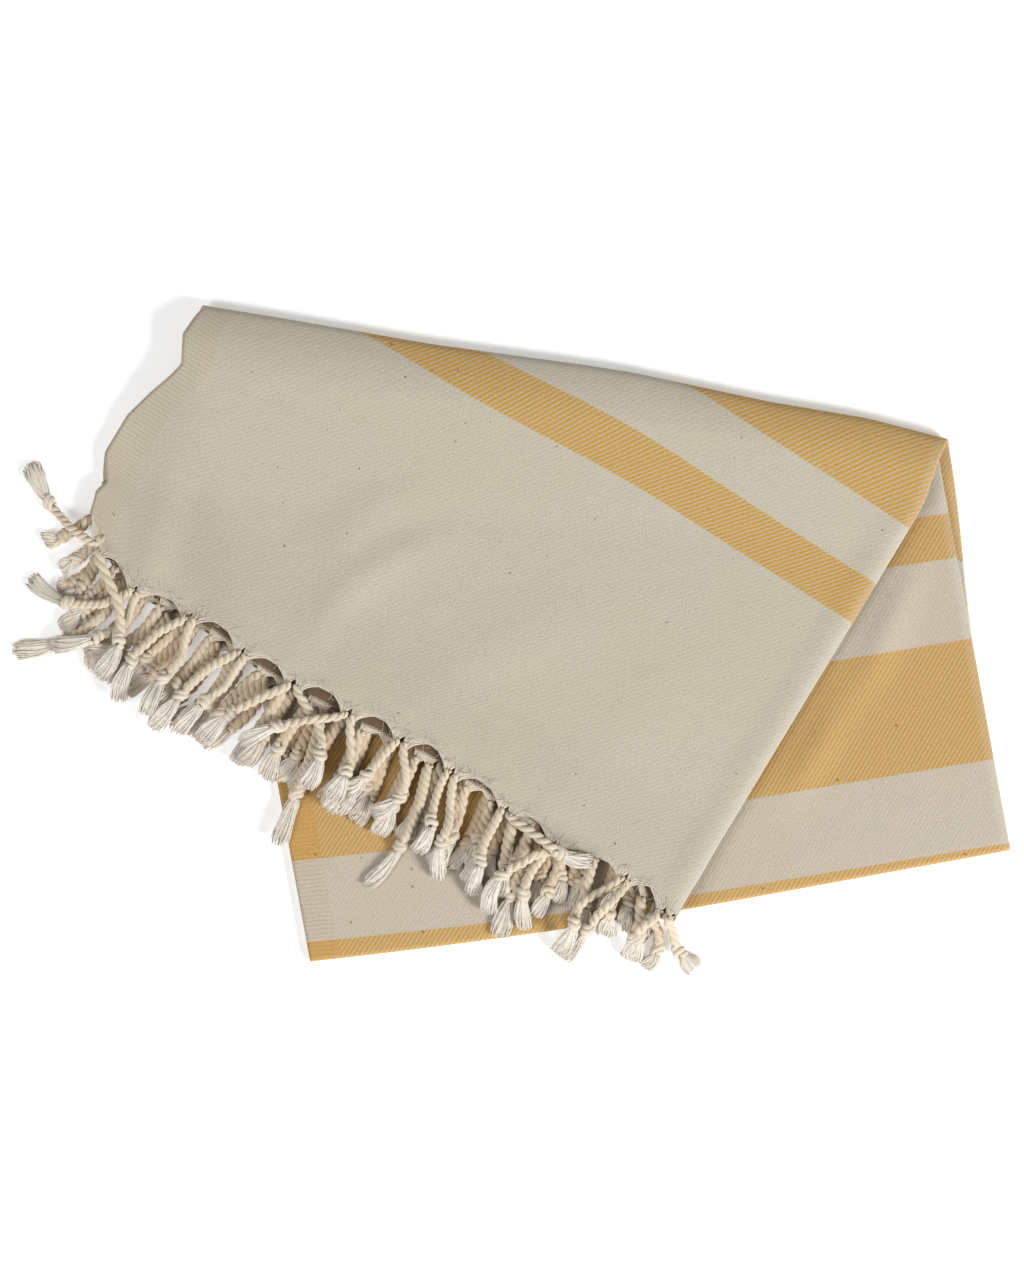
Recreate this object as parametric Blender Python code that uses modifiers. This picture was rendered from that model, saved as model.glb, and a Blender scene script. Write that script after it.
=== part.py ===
"""Hammam towel with tied fringes, folded flat and turned over at the top.

The cloth is one sheet. It is folded lengthwise in half, then crosswise in half, which gives a pack of
four layers. The fringed ends are then turned over a slanting top edge, so that they lie on the pack as
a front flap. The towel lies on the plane z = 0 and its origin is under the middle of its box.
"""

import math
from collections import namedtuple

import bmesh
import bpy
import numpy as np

MM = 0.001

# The cloth, flat. u runs across the towel from its lengthwise fold, and v along it from its middle.
CLOTH_WIDTH = 1000 * MM
CLOTH_LENGTH = 1360 * MM
CLOTH_THICK = 1.0 * MM
LAYER_STEP = 1.7 * MM

# The middle of the towel's box, seen from above, in the layout that the sizes below are given in.
BOX_MIDDLE = np.array([0.1, 1.1]) * MM

# The pack of four layers, seen from above. Its lower right corner is where both folds meet.
PACK_CORNER = np.array([350.5, -144.5]) * MM
PACK_TURN = math.radians(10.4)
FOLD_SLIP = 9 * MM
LIFT_FROM = 180 * MM
LIFT_LEFT = 12 * MM
LIFT_FADE = 330 * MM

# The top edge, where the pack turns over. The crest is the outermost line of the turn. After it the cloth
# rises gently to a crown, which is wider at the left, and falls back to level.
CREST_LEFT = np.array([-216.0, 239.0]) * MM
CREST_RIGHT = np.array([312.0, 142.3]) * MM
TURN_RADIUS = 4.2 * MM
CROWN_RISE = math.radians(24)
CROWN_LEFT = 80 * MM
CROWN_RIGHT = 45 * MM
CROWN_FALL = math.radians(4)
LEVEL_EASE = 200 * MM
FLAP_AIR = 1.5 * MM
LENGTH_PASSES = 30

# The towel's under half shows past its upper half at the right, first below the top edge and then
# more on the front flap.
HALF_SHIFT = 9 * MM
HALF_SHIFT_RUN = 150 * MM
FLAP_SHIFT = 9 * MM
FLAP_SHIFT_START = 8 * MM
FLAP_SHIFT_RUN = 55 * MM
SHIFT_RUN = 330 * MM

# The front flap's left side lies off the pack, on the surface below.
DROP_START = 3 * MM
DROP_RUN = 55 * MM
FLOOR_AIR = 0.4 * MM

# Near the fringe the layers of the front flap stand further apart, over the bulk of the tassels.
EDGE_SPREAD = 1.0
EDGE_SPREAD_RUN = 75 * MM

# The uneven left side of the front flap: how far it lies inward of a straight line.
SidePoint = namedtuple("SidePoint", "from_crest inward")
SIDE_WAVE = (
    SidePoint(0, 6),
    SidePoint(7, 3),
    SidePoint(31, -3),
    SidePoint(48, 3),
    SidePoint(75, -7),
    SidePoint(96, -13),
    SidePoint(125, -13),
    SidePoint(150, -1),
    SidePoint(165, -4),
    SidePoint(181, 0),
    SidePoint(202, 2),
    SidePoint(230, 3),
)
SIDE_FADE = 60 * MM

# The uneven fringed edge of the front flap: how far it is drawn up towards the top edge.
# The three lower layers are drawn up further by the last column.
EdgePoint = namedtuple("EdgePoint", "from_fold drawn_up further")
EDGE_WAVE = (
    EdgePoint(0, 0, 16),
    EdgePoint(42, 8, 15),
    EdgePoint(83, 0, 12),
    EdgePoint(146, 3, 8),
    EdgePoint(208, 7, 3),
    EdgePoint(271, 2, 1),
    EdgePoint(333, -3, 3),
    EdgePoint(396, 0, 6),
    EdgePoint(427, -6, 9),
    EdgePoint(458, -5, 12),
    EdgePoint(479, 5, 14),
    EdgePoint(500, 21, 16),
)
FURTHER_START = 60 * MM
EDGE_FADE = 70 * MM

# Soft ridges (height above 0) and troughs of the front flap, as arcs seen from above.
Crease = namedtuple("Crease", "start bend end height width")
CREASES = (
    Crease((-149, 5), (-122, 60), (-50, 79), 2.6, 13),
    Crease((-122, 47), (-150, 92), (-60, 110), 2.0, 16),
    Crease((-262, 25), (-262, 80), (-235, 150), 3.0, 14),
    Crease((-80, -40), (-30, 0), (60, 30), 1.2, 22),
    Crease((20, -120), (60, -60), (160, 10), 0.8, 26),
)
CREASE_START = 40 * MM
CREASE_EASE = 40 * MM
CREASE_STEPS = 25
CREASE_TIPS = 0.08

# Lines of the cloth's grid. Columns are counted in half pitches of the tassels from the lengthwise fold.
# Rows are shares of the pack, then steps of the turn, of the crown and of the front flap.
COLUMNS = (1, 4, 8, 14, 20, 26, 32, 35, 38, 41, 44, 46, 48)
PACK_ROWS = (0.02, 0.3, 0.6, 0.88)
TURN_ROWS = 8
CROWN_ROWS = 5
FLAP_ROWS = 9
HEM_ROWS = 30 * MM
LINE_SAMPLES = 700
ARC_STEPS = 3

# Fringe. Each end has a narrow heading strip and its row of tied tassels.
EDGE_GAP = 0.3 * MM
FOLD_GAP = 0.9 * MM
FOLD_GAP_RUN = 5 * MM
BESIDE = 0.4 * MM
STRIP_WIDTH = 3 * MM
TASSELS_PER_LAYER = 24
PITCH = CLOTH_WIDTH / 2 / TASSELS_PER_LAYER
ROOT_WIDTH = 5 * MM
TASSEL_AIR = 0.3 * MM
SIDE_AIR = 0.5 * MM
SIDE_BERTH = 1.5 * MM
STEEPEST_FALL = 0.7
ROOT_CLEAR = 0.6
SETTLE_PASSES = 6
SAMPLES_ALONG = 24
SAMPLES_ACROSS = 15
SEED = 11

# Sections of one tassel from its root: half width and height of the twisted cord, knot and brush.
Section = namedtuple("Section", "reach half_width height")
TASSEL = (
    Section(0, 2.5, 1.2),
    Section(4, 2.7, 2.6),
    Section(26, 3.1, 4.4),
    Section(47, 3.1, 4.4),
    Section(53, 4.7, 6.2),
    Section(60, 3.0, 3.8),
    Section(73, 6.4, 3.4),
    Section(86, 7.2, 1.8),
)
KNOT_TOP = 0.62

# Headings in degrees at the root and at the tip, and size, of the uppermost tassels from the fold on.
Lean = namedtuple("Lean", "root tip size")
TOP_TASSELS = (
    Lean(292, 320, 0.52),
    Lean(252, 268, 0.55),
    Lean(240, 222, 0.85),
    Lean(252, 245, 0.8),
    Lean(180, 255, 0.95),
    Lean(250, 268, 0.8),
    Lean(322, 345, 0.75),
    Lean(262, 250, 0.8),
    Lean(240, 262, 0.85),
    Lean(258, 245, 0.75),
    Lean(262, 192, 0.7),
    Lean(236, 216, 0.62),
    Lean(250, 235, 0.7),
    Lean(188, 212, 0.9),
    Lean(284, 245, 0.8),
    Lean(200, 232, 0.9),
    Lean(200, 238, 0.95),
    Lean(212, 228, 1),
    Lean(207, 262, 0.92),
    Lean(202, 262, 1),
    Lean(206, 190, 1),
    Lean(198, 140, 1),
    Lean(290, 225, 0.95),
    Lean(144, 108, 0.95),
)

# Those of the tassels below them, which vary about a mean from the fold to the side.
Mean = namedtuple("Mean", "share root tip size")
LOWER_TASSELS = (
    Mean(0, 262, 262, 0.5),
    Mean(0.15, 256, 256, 0.6),
    Mean(0.35, 250, 246, 0.72),
    Mean(0.6, 240, 234, 0.72),
    Mean(0.75, 234, 217, 0.8),
    Mean(0.85, 232, 207, 0.75),
    Mean(0.92, 234, 204, 0.55),
    Mean(1, 226, 200, 0.4),
)
LOWER_SPREAD = 14

# The two fringed ends lie on the front flap in four layers. Here they are from the lowest up, by their
# side of the lengthwise fold and their end. Tassels are pressed to a share of their height by those above.
EndLayer = namedtuple("EndLayer", "side end pressed")
END_LAYERS = (EndLayer(1, 1, 0.4), EndLayer(-1, 1, 0.4), EndLayer(-1, -1, 0.5), EndLayer(1, -1, 1))

# Tassels of the third layer that reach out from under the others, counted from the fold.
STRAY_LAYER = 2
STRAY_LEANS = {
    0: Lean(300, 228, 0.52),
    5: Lean(254, 254, 0.97),
    9: Lean(257, 228, 1.18),
    13: Lean(252, 255, 1.2),
    21: Lean(236, 180, 1.2),
}

# Colours from the towel: natural cotton, mustard stripes and paler cord.
COTTON = (0.60, 0.54, 0.43, 1)
CORD = (0.66, 0.59, 0.48, 1)

HALF_STEP = LAYER_STEP / 2
PACK_MID = CLOTH_THICK / 2 + 1.5 * LAYER_STEP
ACROSS = np.array([-math.cos(PACK_TURN), -math.sin(PACK_TURN)])
UP = np.array([-math.sin(PACK_TURN), math.cos(PACK_TURN)])
CREST_SPAN = np.linalg.norm(CREST_RIGHT - CREST_LEFT)
ALONG = (CREST_RIGHT - CREST_LEFT) / CREST_SPAN
OUT = np.array([-ALONG[1], ALONG[0]])
FLAP_ACROSS = 2 * (ACROSS @ ALONG) * ALONG - ACROSS
FLAP_DOWN = 2 * (UP @ ALONG) * ALONG - UP


def ease(x):
    """Smooth step from 0 to 1."""
    x = np.clip(x, 0, 1)
    return x * x * (3 - 2 * x)


def column(table, name):
    """One named column of a table as an array."""
    return np.array([getattr(row, name) for row in table], float)


def look_up(table, at, name, x):
    """The named column of a table in mm, read at x."""
    return np.interp(x, column(table, at) * MM, column(table, name) * MM)


def fold_lengthwise(u):
    """Distance across the doubled towel from its fold, and the layer's height above the middle fold."""
    arc = HALF_STEP * math.pi / 2
    turn = np.clip(u / HALF_STEP, -math.pi / 2, math.pi / 2)
    a = np.where(np.abs(u) < arc, -HALF_STEP * np.cos(turn), np.abs(u) - arc)
    return a, LAYER_STEP + HALF_STEP * np.sin(turn)


def slip_at(a):
    """How far the bottom fold lies from the towel's middle."""
    return FOLD_SLIP * (1 - np.clip(a * 2 / CLOTH_WIDTH, 0, 1))


def fold_crosswise(v, a, reach):
    """Distance up the pack from its bottom fold, and the offset from the pack's middle plane."""
    w = v - slip_at(a)
    turn = np.clip(w / reach, -math.pi / 2, math.pi / 2)
    arc = reach * math.pi / 2
    b = np.where(np.abs(w) < arc, -reach * np.cos(turn), np.abs(w) - arc)
    return b, reach * np.sin(turn)


def pack_plan(a, b):
    """The flat pack seen from above. Its lower left side is drawn up a little."""
    rise = np.clip((a - LIFT_FROM) / (CLOTH_WIDTH / 2 - LIFT_FROM), 0, None)
    lift = LIFT_LEFT * rise**2 * np.clip(1 - b / LIFT_FADE, 0, 1)
    return PACK_CORNER + a[..., None] * ACROSS + (b + lift)[..., None] * UP


def roll_start(plan):
    """Distance beyond the line where the turn begins, and the radius of the crown there."""
    from_left = plan - CREST_LEFT
    outer = TURN_RADIUS + 1.5 * LAYER_STEP + CLOTH_THICK / 2
    share = np.clip(from_left @ ALONG / CREST_SPAN, 0, 1)
    return from_left @ OUT + outer, CROWN_LEFT + (CROWN_RIGHT - CROWN_LEFT) * share


def roll_lengths(crown):
    """Lengths of the sharp turn, the crown, the straight slope after it and the easing back to level."""
    rest = 4 * LAYER_STEP + FLAP_AIR
    top = TURN_RADIUS * (1 + math.cos(CROWN_RISE)) + crown * (math.cos(CROWN_FALL) - math.cos(CROWN_RISE))
    fall = top - rest - LEVEL_EASE * (1 - math.cos(CROWN_FALL))
    turn = (math.pi - CROWN_RISE) * TURN_RADIUS
    return turn, crown * (CROWN_RISE + CROWN_FALL), fall / math.sin(CROWN_FALL), LEVEL_EASE * CROWN_FALL


def roll_angles(s, crown):
    """Angles turned through at length s of the roll: in the sharp turn, the crown and the easing back."""
    turn, top, slope, _ = roll_lengths(crown)
    sharp = np.clip(s / TURN_RADIUS, 0, math.pi - CROWN_RISE)
    gentle = np.clip((s - turn) / crown, 0, CROWN_RISE + CROWN_FALL)
    return sharp, gentle, np.clip((s - turn - top - slope) / LEVEL_EASE, 0, CROWN_FALL)


def roll_length_at(p, offset, crown):
    """Length along the middle plane of a layer's point that lay p beyond the line when flat."""
    s = p
    for _ in range(LENGTH_PASSES):
        sharp, gentle, back = roll_angles(s, crown)
        s = p + offset * (sharp + gentle - back)
    return s


def roll_over(plan, offset):
    """Turns the pack over the top edge: place seen from above, height and angle turned through."""
    p, crown = roll_start(plan)
    s = roll_length_at(p, offset, crown)
    turn, top, slope, ease_back = roll_lengths(crown)
    sharp, gentle, back = roll_angles(s, crown)
    rising = math.pi - CROWN_RISE
    down = np.clip(s - turn - top, 0, slope)
    past = np.clip(s - turn - top - slope - ease_back, 0, None)
    n = np.where(s < 0, s, TURN_RADIUS * np.sin(sharp))
    n = n + crown * (np.sin(rising + gentle) - math.sin(rising)) - down * math.cos(CROWN_FALL)
    n = n - LEVEL_EASE * (math.sin(CROWN_FALL) - np.sin(CROWN_FALL - back)) - past
    z = TURN_RADIUS * (1 - np.cos(sharp)) + crown * (math.cos(rising) - np.cos(rising + gentle))
    z = z - down * math.sin(CROWN_FALL) - LEVEL_EASE * (np.cos(CROWN_FALL - back) - math.cos(CROWN_FALL))
    angle = sharp + gentle - back
    n = n - np.sin(angle) * offset
    z = z + np.cos(angle) * offset
    slide = offset * angle * (UP @ ALONG) / (UP @ OUT)
    plan = plan + (n - p)[..., None] * OUT + slide[..., None] * ALONG
    return plan, PACK_MID + z, angle, s


def crease_height(plan):
    """Height of the soft ridges at a place seen from above."""
    total = np.zeros(plan.shape[:-1])
    for crease in CREASES:
        start, bend, end = (np.array(p) * MM for p in (crease.start, crease.bend, crease.end))
        best = np.full(plan.shape[:-1], np.inf)
        fade = np.zeros(plan.shape[:-1])
        for share in np.linspace(0, 1, CREASE_STEPS):
            point = (1 - share) ** 2 * start + 2 * share * (1 - share) * bend + share**2 * end
            gap = np.linalg.norm(plan - point, axis=-1)
            along = CREASE_TIPS + (1 - 2 * CREASE_TIPS) * share
            fade = np.where(gap < best, math.sin(math.pi * along), fade)
            best = np.minimum(best, gap)
        total = total + crease.height * MM * fade * np.exp(-((best / (crease.width * MM)) ** 2))
    return total


def shift_share(a, offset):
    """How much of the shift to the right a layer takes: the upper half's is less near its fold."""
    return np.where(offset < 0, 1, ease(a / SHIFT_RUN))


def place_in_pack(u, v):
    """Where a point of the cloth lies in the flat pack: from its fold, seen from above, and its offset."""
    a, reach = fold_lengthwise(u)
    b, offset = fold_crosswise(v, a, reach)
    flat = pack_plan(a, b)
    beyond, _ = roll_start(flat)
    shift = HALF_SHIFT * ease(1 + beyond / HALF_SHIFT_RUN) * shift_share(a, offset)
    return a, flat - shift[..., None] * ACROSS, offset


def drawn_up(u, a, offset):
    """How far a point at the fringed edge is drawn up the flap."""
    lower = np.where(offset > 0, 1, np.where(u > 0, 0, ease(a / FURTHER_START)))
    further = look_up(EDGE_WAVE, "from_fold", "further", a) * lower
    return look_up(EDGE_WAVE, "from_fold", "drawn_up", a) + further


def cloth_point(u, v):
    """Where a point of the flat cloth lies once the towel is folded."""
    u, v = np.broadcast_arrays(np.asarray(u, float), np.asarray(v, float))
    a, flat, offset = place_in_pack(u, v)
    plan, z, angle, s = roll_over(flat, offset)
    turned = np.clip(angle / math.pi, 0, 1)
    past_pack = (plan - PACK_CORNER) @ ACROSS - CLOTH_WIDTH / 2
    to_edge = CLOTH_LENGTH / 2 - np.abs(v)
    front = turned == 1
    apart = EDGE_SPREAD * ease(1 - to_edge / EDGE_SPREAD_RUN) * front
    drop = (4 * LAYER_STEP + FLAP_AIR - FLOOR_AIR) * ease((past_pack - DROP_START) / DROP_RUN)
    raised = (1.5 * LAYER_STEP - offset) * apart
    creased = crease_height(plan) * ease((s - CREASE_START) / CREASE_EASE)
    z = z - drop * turned + raised + creased
    side = look_up(SIDE_WAVE, "from_crest", "inward", s) * turned
    side = side * ease(1 - (CLOTH_WIDTH / 2 - a) / SIDE_FADE)
    side = side + FLAP_SHIFT * ease((s - FLAP_SHIFT_START) / FLAP_SHIFT_RUN) * shift_share(a, offset)
    drawn = drawn_up(u, a, offset) * front * ease(1 - to_edge / EDGE_FADE)
    bulge = np.minimum(a, 0) * apart
    plan = plan + (bulge - side)[..., None] * FLAP_ACROSS - drawn[..., None] * FLAP_DOWN
    return np.concatenate([plan, z[..., None]], axis=-1)


def column_lines():
    """Distances u of the grid's lines, on both sides of the lengthwise fold."""
    arc = HALF_STEP * math.pi / 2
    side = np.concatenate([arc * np.arange(1, ARC_STEPS + 1) / ARC_STEPS, np.array(COLUMNS) * PITCH / 2])
    return np.concatenate([-side[::-1], [0], side])


def row_lines(u):
    """Distances v of the grid's rows along its line u, from one fringed end to the other."""
    a, reach = fold_lengthwise(u)
    slip = slip_at(a)
    fold = reach * math.pi / 2
    halves = []
    for side in (-1, 1):
        v = slip + side * np.linspace(fold, CLOTH_LENGTH / 2 - side * slip, LINE_SAMPLES)
        _, flat, offset = place_in_pack(np.full_like(v, u), v)
        p, crown = roll_start(flat)
        s = roll_length_at(p, offset, crown)
        turn, top, slope, back = roll_lengths(np.interp(0, s, crown))
        pack = s[0] * (1 - np.array(PACK_ROWS))
        rise = turn + top * np.arange(1, CROWN_ROWS + 1) / CROWN_ROWS
        level = turn + top + slope + back * np.array([0, 1])
        roll = np.concatenate([np.linspace(0, turn, TURN_ROWS + 1), rise, level])
        level_end, _ = roll_start(pack_plan(a, np.asarray(CLOTH_LENGTH / 2)))
        flap = np.linspace(roll[-1], level_end - HEM_ROWS, FLAP_ROWS + 1)[1:]
        hem = [(flap[-1] + s[-1]) / 2, s[-1]]
        halves.append(np.interp(np.concatenate([pack, roll, flap, hem]), s, v))
    turns = slip + fold * np.linspace(-1, 1, 2 * ARC_STEPS + 1)
    return np.concatenate([halves[0][::-1], turns, halves[1]])


def new_object(name, mesh_builder, material, collection):
    """An object of the collection with its own material, from a function that fills a bmesh."""
    mesh = bpy.data.meshes.new(name)
    bm = bmesh.new()
    mesh_builder(bm)
    bm.to_mesh(mesh)
    bm.free()
    mesh.materials.append(material)
    made = bpy.data.objects.new(name, mesh)
    collection.objects.link(made)
    return made


def fill_cloth(bm):
    """A flat grid of the cloth, moved to where each of its points lies once folded."""
    columns = column_lines()
    rows = np.array([row_lines(u) for u in columns])
    across, along = rows.shape
    bmesh.ops.create_grid(bm, x_segments=across - 1, y_segments=along - 1, size=0.5)
    for sign, method in ((1, "FIXED"), (-1, "ALTERNATE")):
        middles = [(face, face.calc_center_median()) for face in bm.faces if len(face.verts) == 4]
        faces = [face for face, middle in middles if middle.x * middle.y * sign > 0]
        bmesh.ops.triangulate(bm, faces=faces, quad_method=method)
    folded = cloth_point(columns[:, None], rows)
    for vert in bm.verts:
        i = round((vert.co.x + 0.5) * (across - 1))
        j = round((vert.co.y + 0.5) * (along - 1))
        vert.co = folded[i, j]


def hem_points(u, v):
    """Points near a fringed end, level with the cloth's own facets between its columns."""
    u, v = np.broadcast_arrays(u, v)
    columns = column_lines()
    left = np.clip(np.searchsorted(columns, u) - 1, 0, len(columns) - 2)
    share = (u - columns[left]) / (columns[left + 1] - columns[left])
    before, after = cloth_point(columns[left], v), cloth_point(columns[left + 1], v)
    return before + (after - before) * share[..., None]


NO_CEILING = 1.0


class HeightMap:
    """How high the towel already reaches at each place, in cells seen from above."""

    CELL = 1 * MM
    LOW = np.array([-400, -380]) * MM
    SHAPE = (800, 720)
    MARGIN = 4 * MM

    def __init__(self):
        cells = np.stack(np.meshgrid(*(np.arange(n) for n in self.SHAPE), indexing="ij"), axis=-1)
        away = self.LOW + (cells + 0.5) * self.CELL - PACK_CORNER
        across, up = away @ ACROSS, away @ UP
        in_pack = (across > -self.MARGIN) & (across < CLOTH_WIDTH / 2 + self.MARGIN) & (up > -self.MARGIN)
        self.top = np.where(in_pack, 3 * LAYER_STEP + CLOTH_THICK, -TASSEL_AIR)
        self.ceiling = np.full(self.SHAPE, NO_CEILING)

    def cell(self, points):
        """Indices of the cells that hold these points."""
        return tuple(np.moveaxis(((points[..., :2] - self.LOW) / self.CELL).astype(int), -1, 0))

    def raise_to(self, points):
        """Takes in a surface given by points on its upper side."""
        np.maximum.at(self.top, self.cell(points), points[..., 2])

    def lower_to(self, points):
        """Takes in a surface that hangs over what is laid next, given by points on its lower side."""
        np.minimum.at(self.ceiling, self.cell(points), points[..., 2])


def hem_sheet(side, end):
    """Points of one layer near a fringed end, and of its heading strip, a cell apart or less."""
    u = side * np.linspace(0, CLOTH_WIDTH / 2, LINE_SAMPLES)
    reaches = np.arange(-HEM_ROWS, EDGE_GAP + STRIP_WIDTH + MM, HeightMap.CELL * 0.75)
    return np.stack([hem_points(u, end * (CLOTH_LENGTH / 2 + reach)) for reach in reaches])


def tassel_course(root, out, lean):
    """Centres of a tassel's sections seen from above, and the directions across them."""
    reach = column(TASSEL, "reach") * MM
    reach[2:] = reach[1] + (reach[2:] - reach[1]) * lean.size
    middle = (reach[1:] + reach[:-1]) / 2
    share = (middle - middle[1]) / (middle[-1] - middle[1])
    heading = np.radians(lean.root + (lean.tip - lean.root) * share)
    ways = np.stack([np.cos(heading), np.sin(heading)], axis=-1)
    ways[0] = out
    centres = root + np.concatenate([[[0, 0]], np.cumsum(ways * np.diff(reach)[:, None], axis=0)])
    mean = np.concatenate([ways[:1], ways[1:] + ways[:-1], ways[-1:]])
    mean /= np.linalg.norm(mean, axis=-1, keepdims=True)
    return reach, centres, np.stack([-mean[:, 1], mean[:, 0]], axis=-1)


def footprint(centres, across, j, margin):
    """Points under one length of a tassel, seen from above, and their share of the way along it."""
    share = np.linspace(0, 1, SAMPLES_ALONG)[:, None, None]
    sideways = np.linspace(-1, 1, SAMPLES_ACROSS)[None, :, None]
    reach = across + margin * across / np.linalg.norm(across, axis=-1, keepdims=True)
    centre = centres[j] + (centres[j + 1] - centres[j]) * share
    points = centre + sideways * (reach[j] + (reach[j + 1] - reach[j]) * share)
    return points, np.broadcast_to(share[..., 0], points.shape[:-1])


def settle(low, below):
    """Raises a tassel's lower heights until its straight lengths clear what is below them."""
    for _ in range(SETTLE_PASSES):
        for j, needed in enumerate(below):
            for share, height in zip(*needed):
                lack = height - low[j] * (1 - share) - low[j + 1] * share
                if lack > 0 and j == 0:
                    low[1] += lack / share
                elif lack > 0:
                    weight = share**2 + (1 - share) ** 2
                    low[j] += lack * (1 - share) / weight
                    low[j + 1] += lack * share / weight
    for j, (shares, tops) in enumerate(below):
        lack = tops - low[j] * (1 - shares) - low[j + 1] * shares
        if j == 0:
            low[1] += max((lack / shares).max(), 0)
        else:
            low[j:j + 2] = [height + max(lack.max(), 0) for height in low[j:j + 2]]


def lay_tassel(heights, root, out, lean, pressed, root_bottom):
    """Lays one tassel on what is below it: centres, half widths across, and its lower and upper heights."""
    reach, centres, across = tassel_course(root, out, lean)
    across = across * column(TASSEL, "half_width")[:, None] * MM
    lengths = range(len(TASSEL) - 1)
    below = []
    above = []
    for j in lengths:
        points, share = footprint(centres, across, j, SIDE_AIR)
        clear = share[:, 0] >= (ROOT_CLEAR if j == 0 else 0)
        shares = share[:, 0][clear]
        below.append((shares, heights.top[heights.cell(points)][clear].max(axis=1) + TASSEL_AIR))
        above.append(heights.ceiling[heights.cell(points)][clear].min() - TASSEL_AIR)
    low = [root_bottom]
    for j in range(1, len(TASSEL)):
        fall = low[-1] - STEEPEST_FALL * (reach[j] - reach[j - 1])
        low.append(max(fall, below[j - 1][1][-1]))
    settle(low, below)
    high = [root_bottom + CLOTH_THICK]
    for j in range(1, len(TASSEL)):
        high.append(min(low[j] + TASSEL[j].height * pressed * MM, *above[j - 1:j + 1]))
    for j in lengths:
        points, share = footprint(centres, across, j, SIDE_BERTH)
        top = high[j] + (high[j + 1] - high[j]) * share
        heights.raise_to(np.concatenate([points, top[..., None]], axis=-1))
    return centres, across, np.array(low), np.array(high)


def root_edges(side):
    """Both edges, at u, of each tassel's root on one layer, from the fold to the side."""
    middle = (np.arange(TASSELS_PER_LAYER) + (0.25 if side > 0 else 0.75)) * PITCH
    return side * np.stack([middle - ROOT_WIDTH / 2, middle + ROOT_WIDTH / 2], axis=-1)


def strip_lines():
    """Distances u at which the heading strip has a section: at the grid's columns and the roots."""
    return np.unique(np.concatenate([column_lines(), root_edges(1).ravel(), root_edges(-1).ravel()]))


def strip_corners(u, end):
    """Corners of the heading strip's sections: inner upper, outer upper, outer lower and inner lower."""
    gap = EDGE_GAP + FOLD_GAP * ease(1 - np.abs(u) / FOLD_GAP_RUN)
    inner, outer = (hem_points(u, end * (CLOTH_LENGTH / 2 + reach)) for reach in (gap, gap + STRIP_WIDTH))
    beside = [hem_points(u + d, end * (CLOTH_LENGTH / 2 + gap)) for d in (BESIDE, -BESIDE)]
    normal = np.cross(beside[0] - beside[1], outer - inner)
    normal *= CLOTH_THICK / 2 / np.linalg.norm(normal, axis=-1, keepdims=True)
    return np.stack([inner + normal, outer + normal, outer - normal, inner - normal], axis=1)


def lower_leans(layer, rng):
    """Headings and sizes of one layer's tassels that lie below others."""
    shares = (np.arange(TASSELS_PER_LAYER) + 0.5) / TASSELS_PER_LAYER
    at = column(LOWER_TASSELS, "share")
    root, tip, size = (np.interp(shares, at, column(LOWER_TASSELS, name)) for name in ("root", "tip", "size"))
    wander = rng.uniform(-LOWER_SPREAD, LOWER_SPREAD, (2, TASSELS_PER_LAYER))
    leans = [Lean(*row) for row in zip(root + wander[0], tip + wander[1], size)]
    if layer == STRAY_LAYER:
        leans = [STRAY_LEANS.get(i, lean) for i, lean in enumerate(leans)]
    return leans


def lay_row(heights, layer, leans):
    """Lays the tassels of one layer, those that lean furthest last, as a list from the fold to the side."""
    middle = root_edges(layer.side).mean(axis=1)
    reach = CLOTH_LENGTH / 2 + EDGE_GAP
    inner, outer = (hem_points(middle, layer.end * (reach + w)) for w in (0, STRIP_WIDTH))
    ways = (outer - inner)[:, :2]
    ways /= np.linalg.norm(ways, axis=-1, keepdims=True)
    straight = np.degrees(np.arctan2(ways[:, 1], ways[:, 0])) % 360
    laid = {}
    for i in sorted(range(len(leans)), key=lambda i: abs(leans[i].root - straight[i])):
        bottom = outer[i, 2] - CLOTH_THICK / 2
        laid[i] = lay_tassel(heights, outer[i, :2], ways[i], leans[i], layer.pressed, bottom)
    return [laid[i] for i in range(len(leans))]


def lay_fringe():
    """Lays the tassels of all four layers on one another, keyed by their side and end."""
    rng = np.random.default_rng(SEED)
    heights = HeightMap()
    lift = np.array([0, 0, CLOTH_THICK / 2])
    rows = {}
    for n, layer in enumerate(END_LAYERS):
        heights.raise_to(hem_sheet(layer.side, layer.end) + lift)
        heights.ceiling[:] = NO_CEILING
        for upper in END_LAYERS[n + 1:]:
            heights.lower_to(hem_sheet(upper.side, upper.end) - lift)
        is_top = n == len(END_LAYERS) - 1
        leans = TOP_TASSELS if is_top else lower_leans(n, rng)
        rows[layer.side, layer.end] = lay_row(heights, layer, leans)
    return rows


def add_tassel(bm, root, tassel):
    """Draws one tassel out of the strip's face that the corners of its root bound."""
    centres, across, low, high = tassel
    from_centre = [(corner.co.xy - root[0].co.xy).dot(across[0]) for corner in root]
    middle = sum(from_centre) / 4
    upper = sum(corner.co.z for corner in root) / 4
    signs = [(1 if away > middle else -1, corner.co.z > upper) for away, corner in zip(from_centre, root)]
    before = root
    for centre, half, bottom, top in zip(centres[1:], across[1:], low[1:], high[1:]):
        ring = []
        for sign, is_upper in signs:
            place = centre + sign * half * (KNOT_TOP if is_upper else 1)
            ring.append(bm.verts.new((*place, top if is_upper else bottom)))
        for k in range(4):
            bm.faces.new((before[k - 1], before[k], ring[k], ring[k - 1]))
        before = ring
    bm.faces.new(before)


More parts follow.
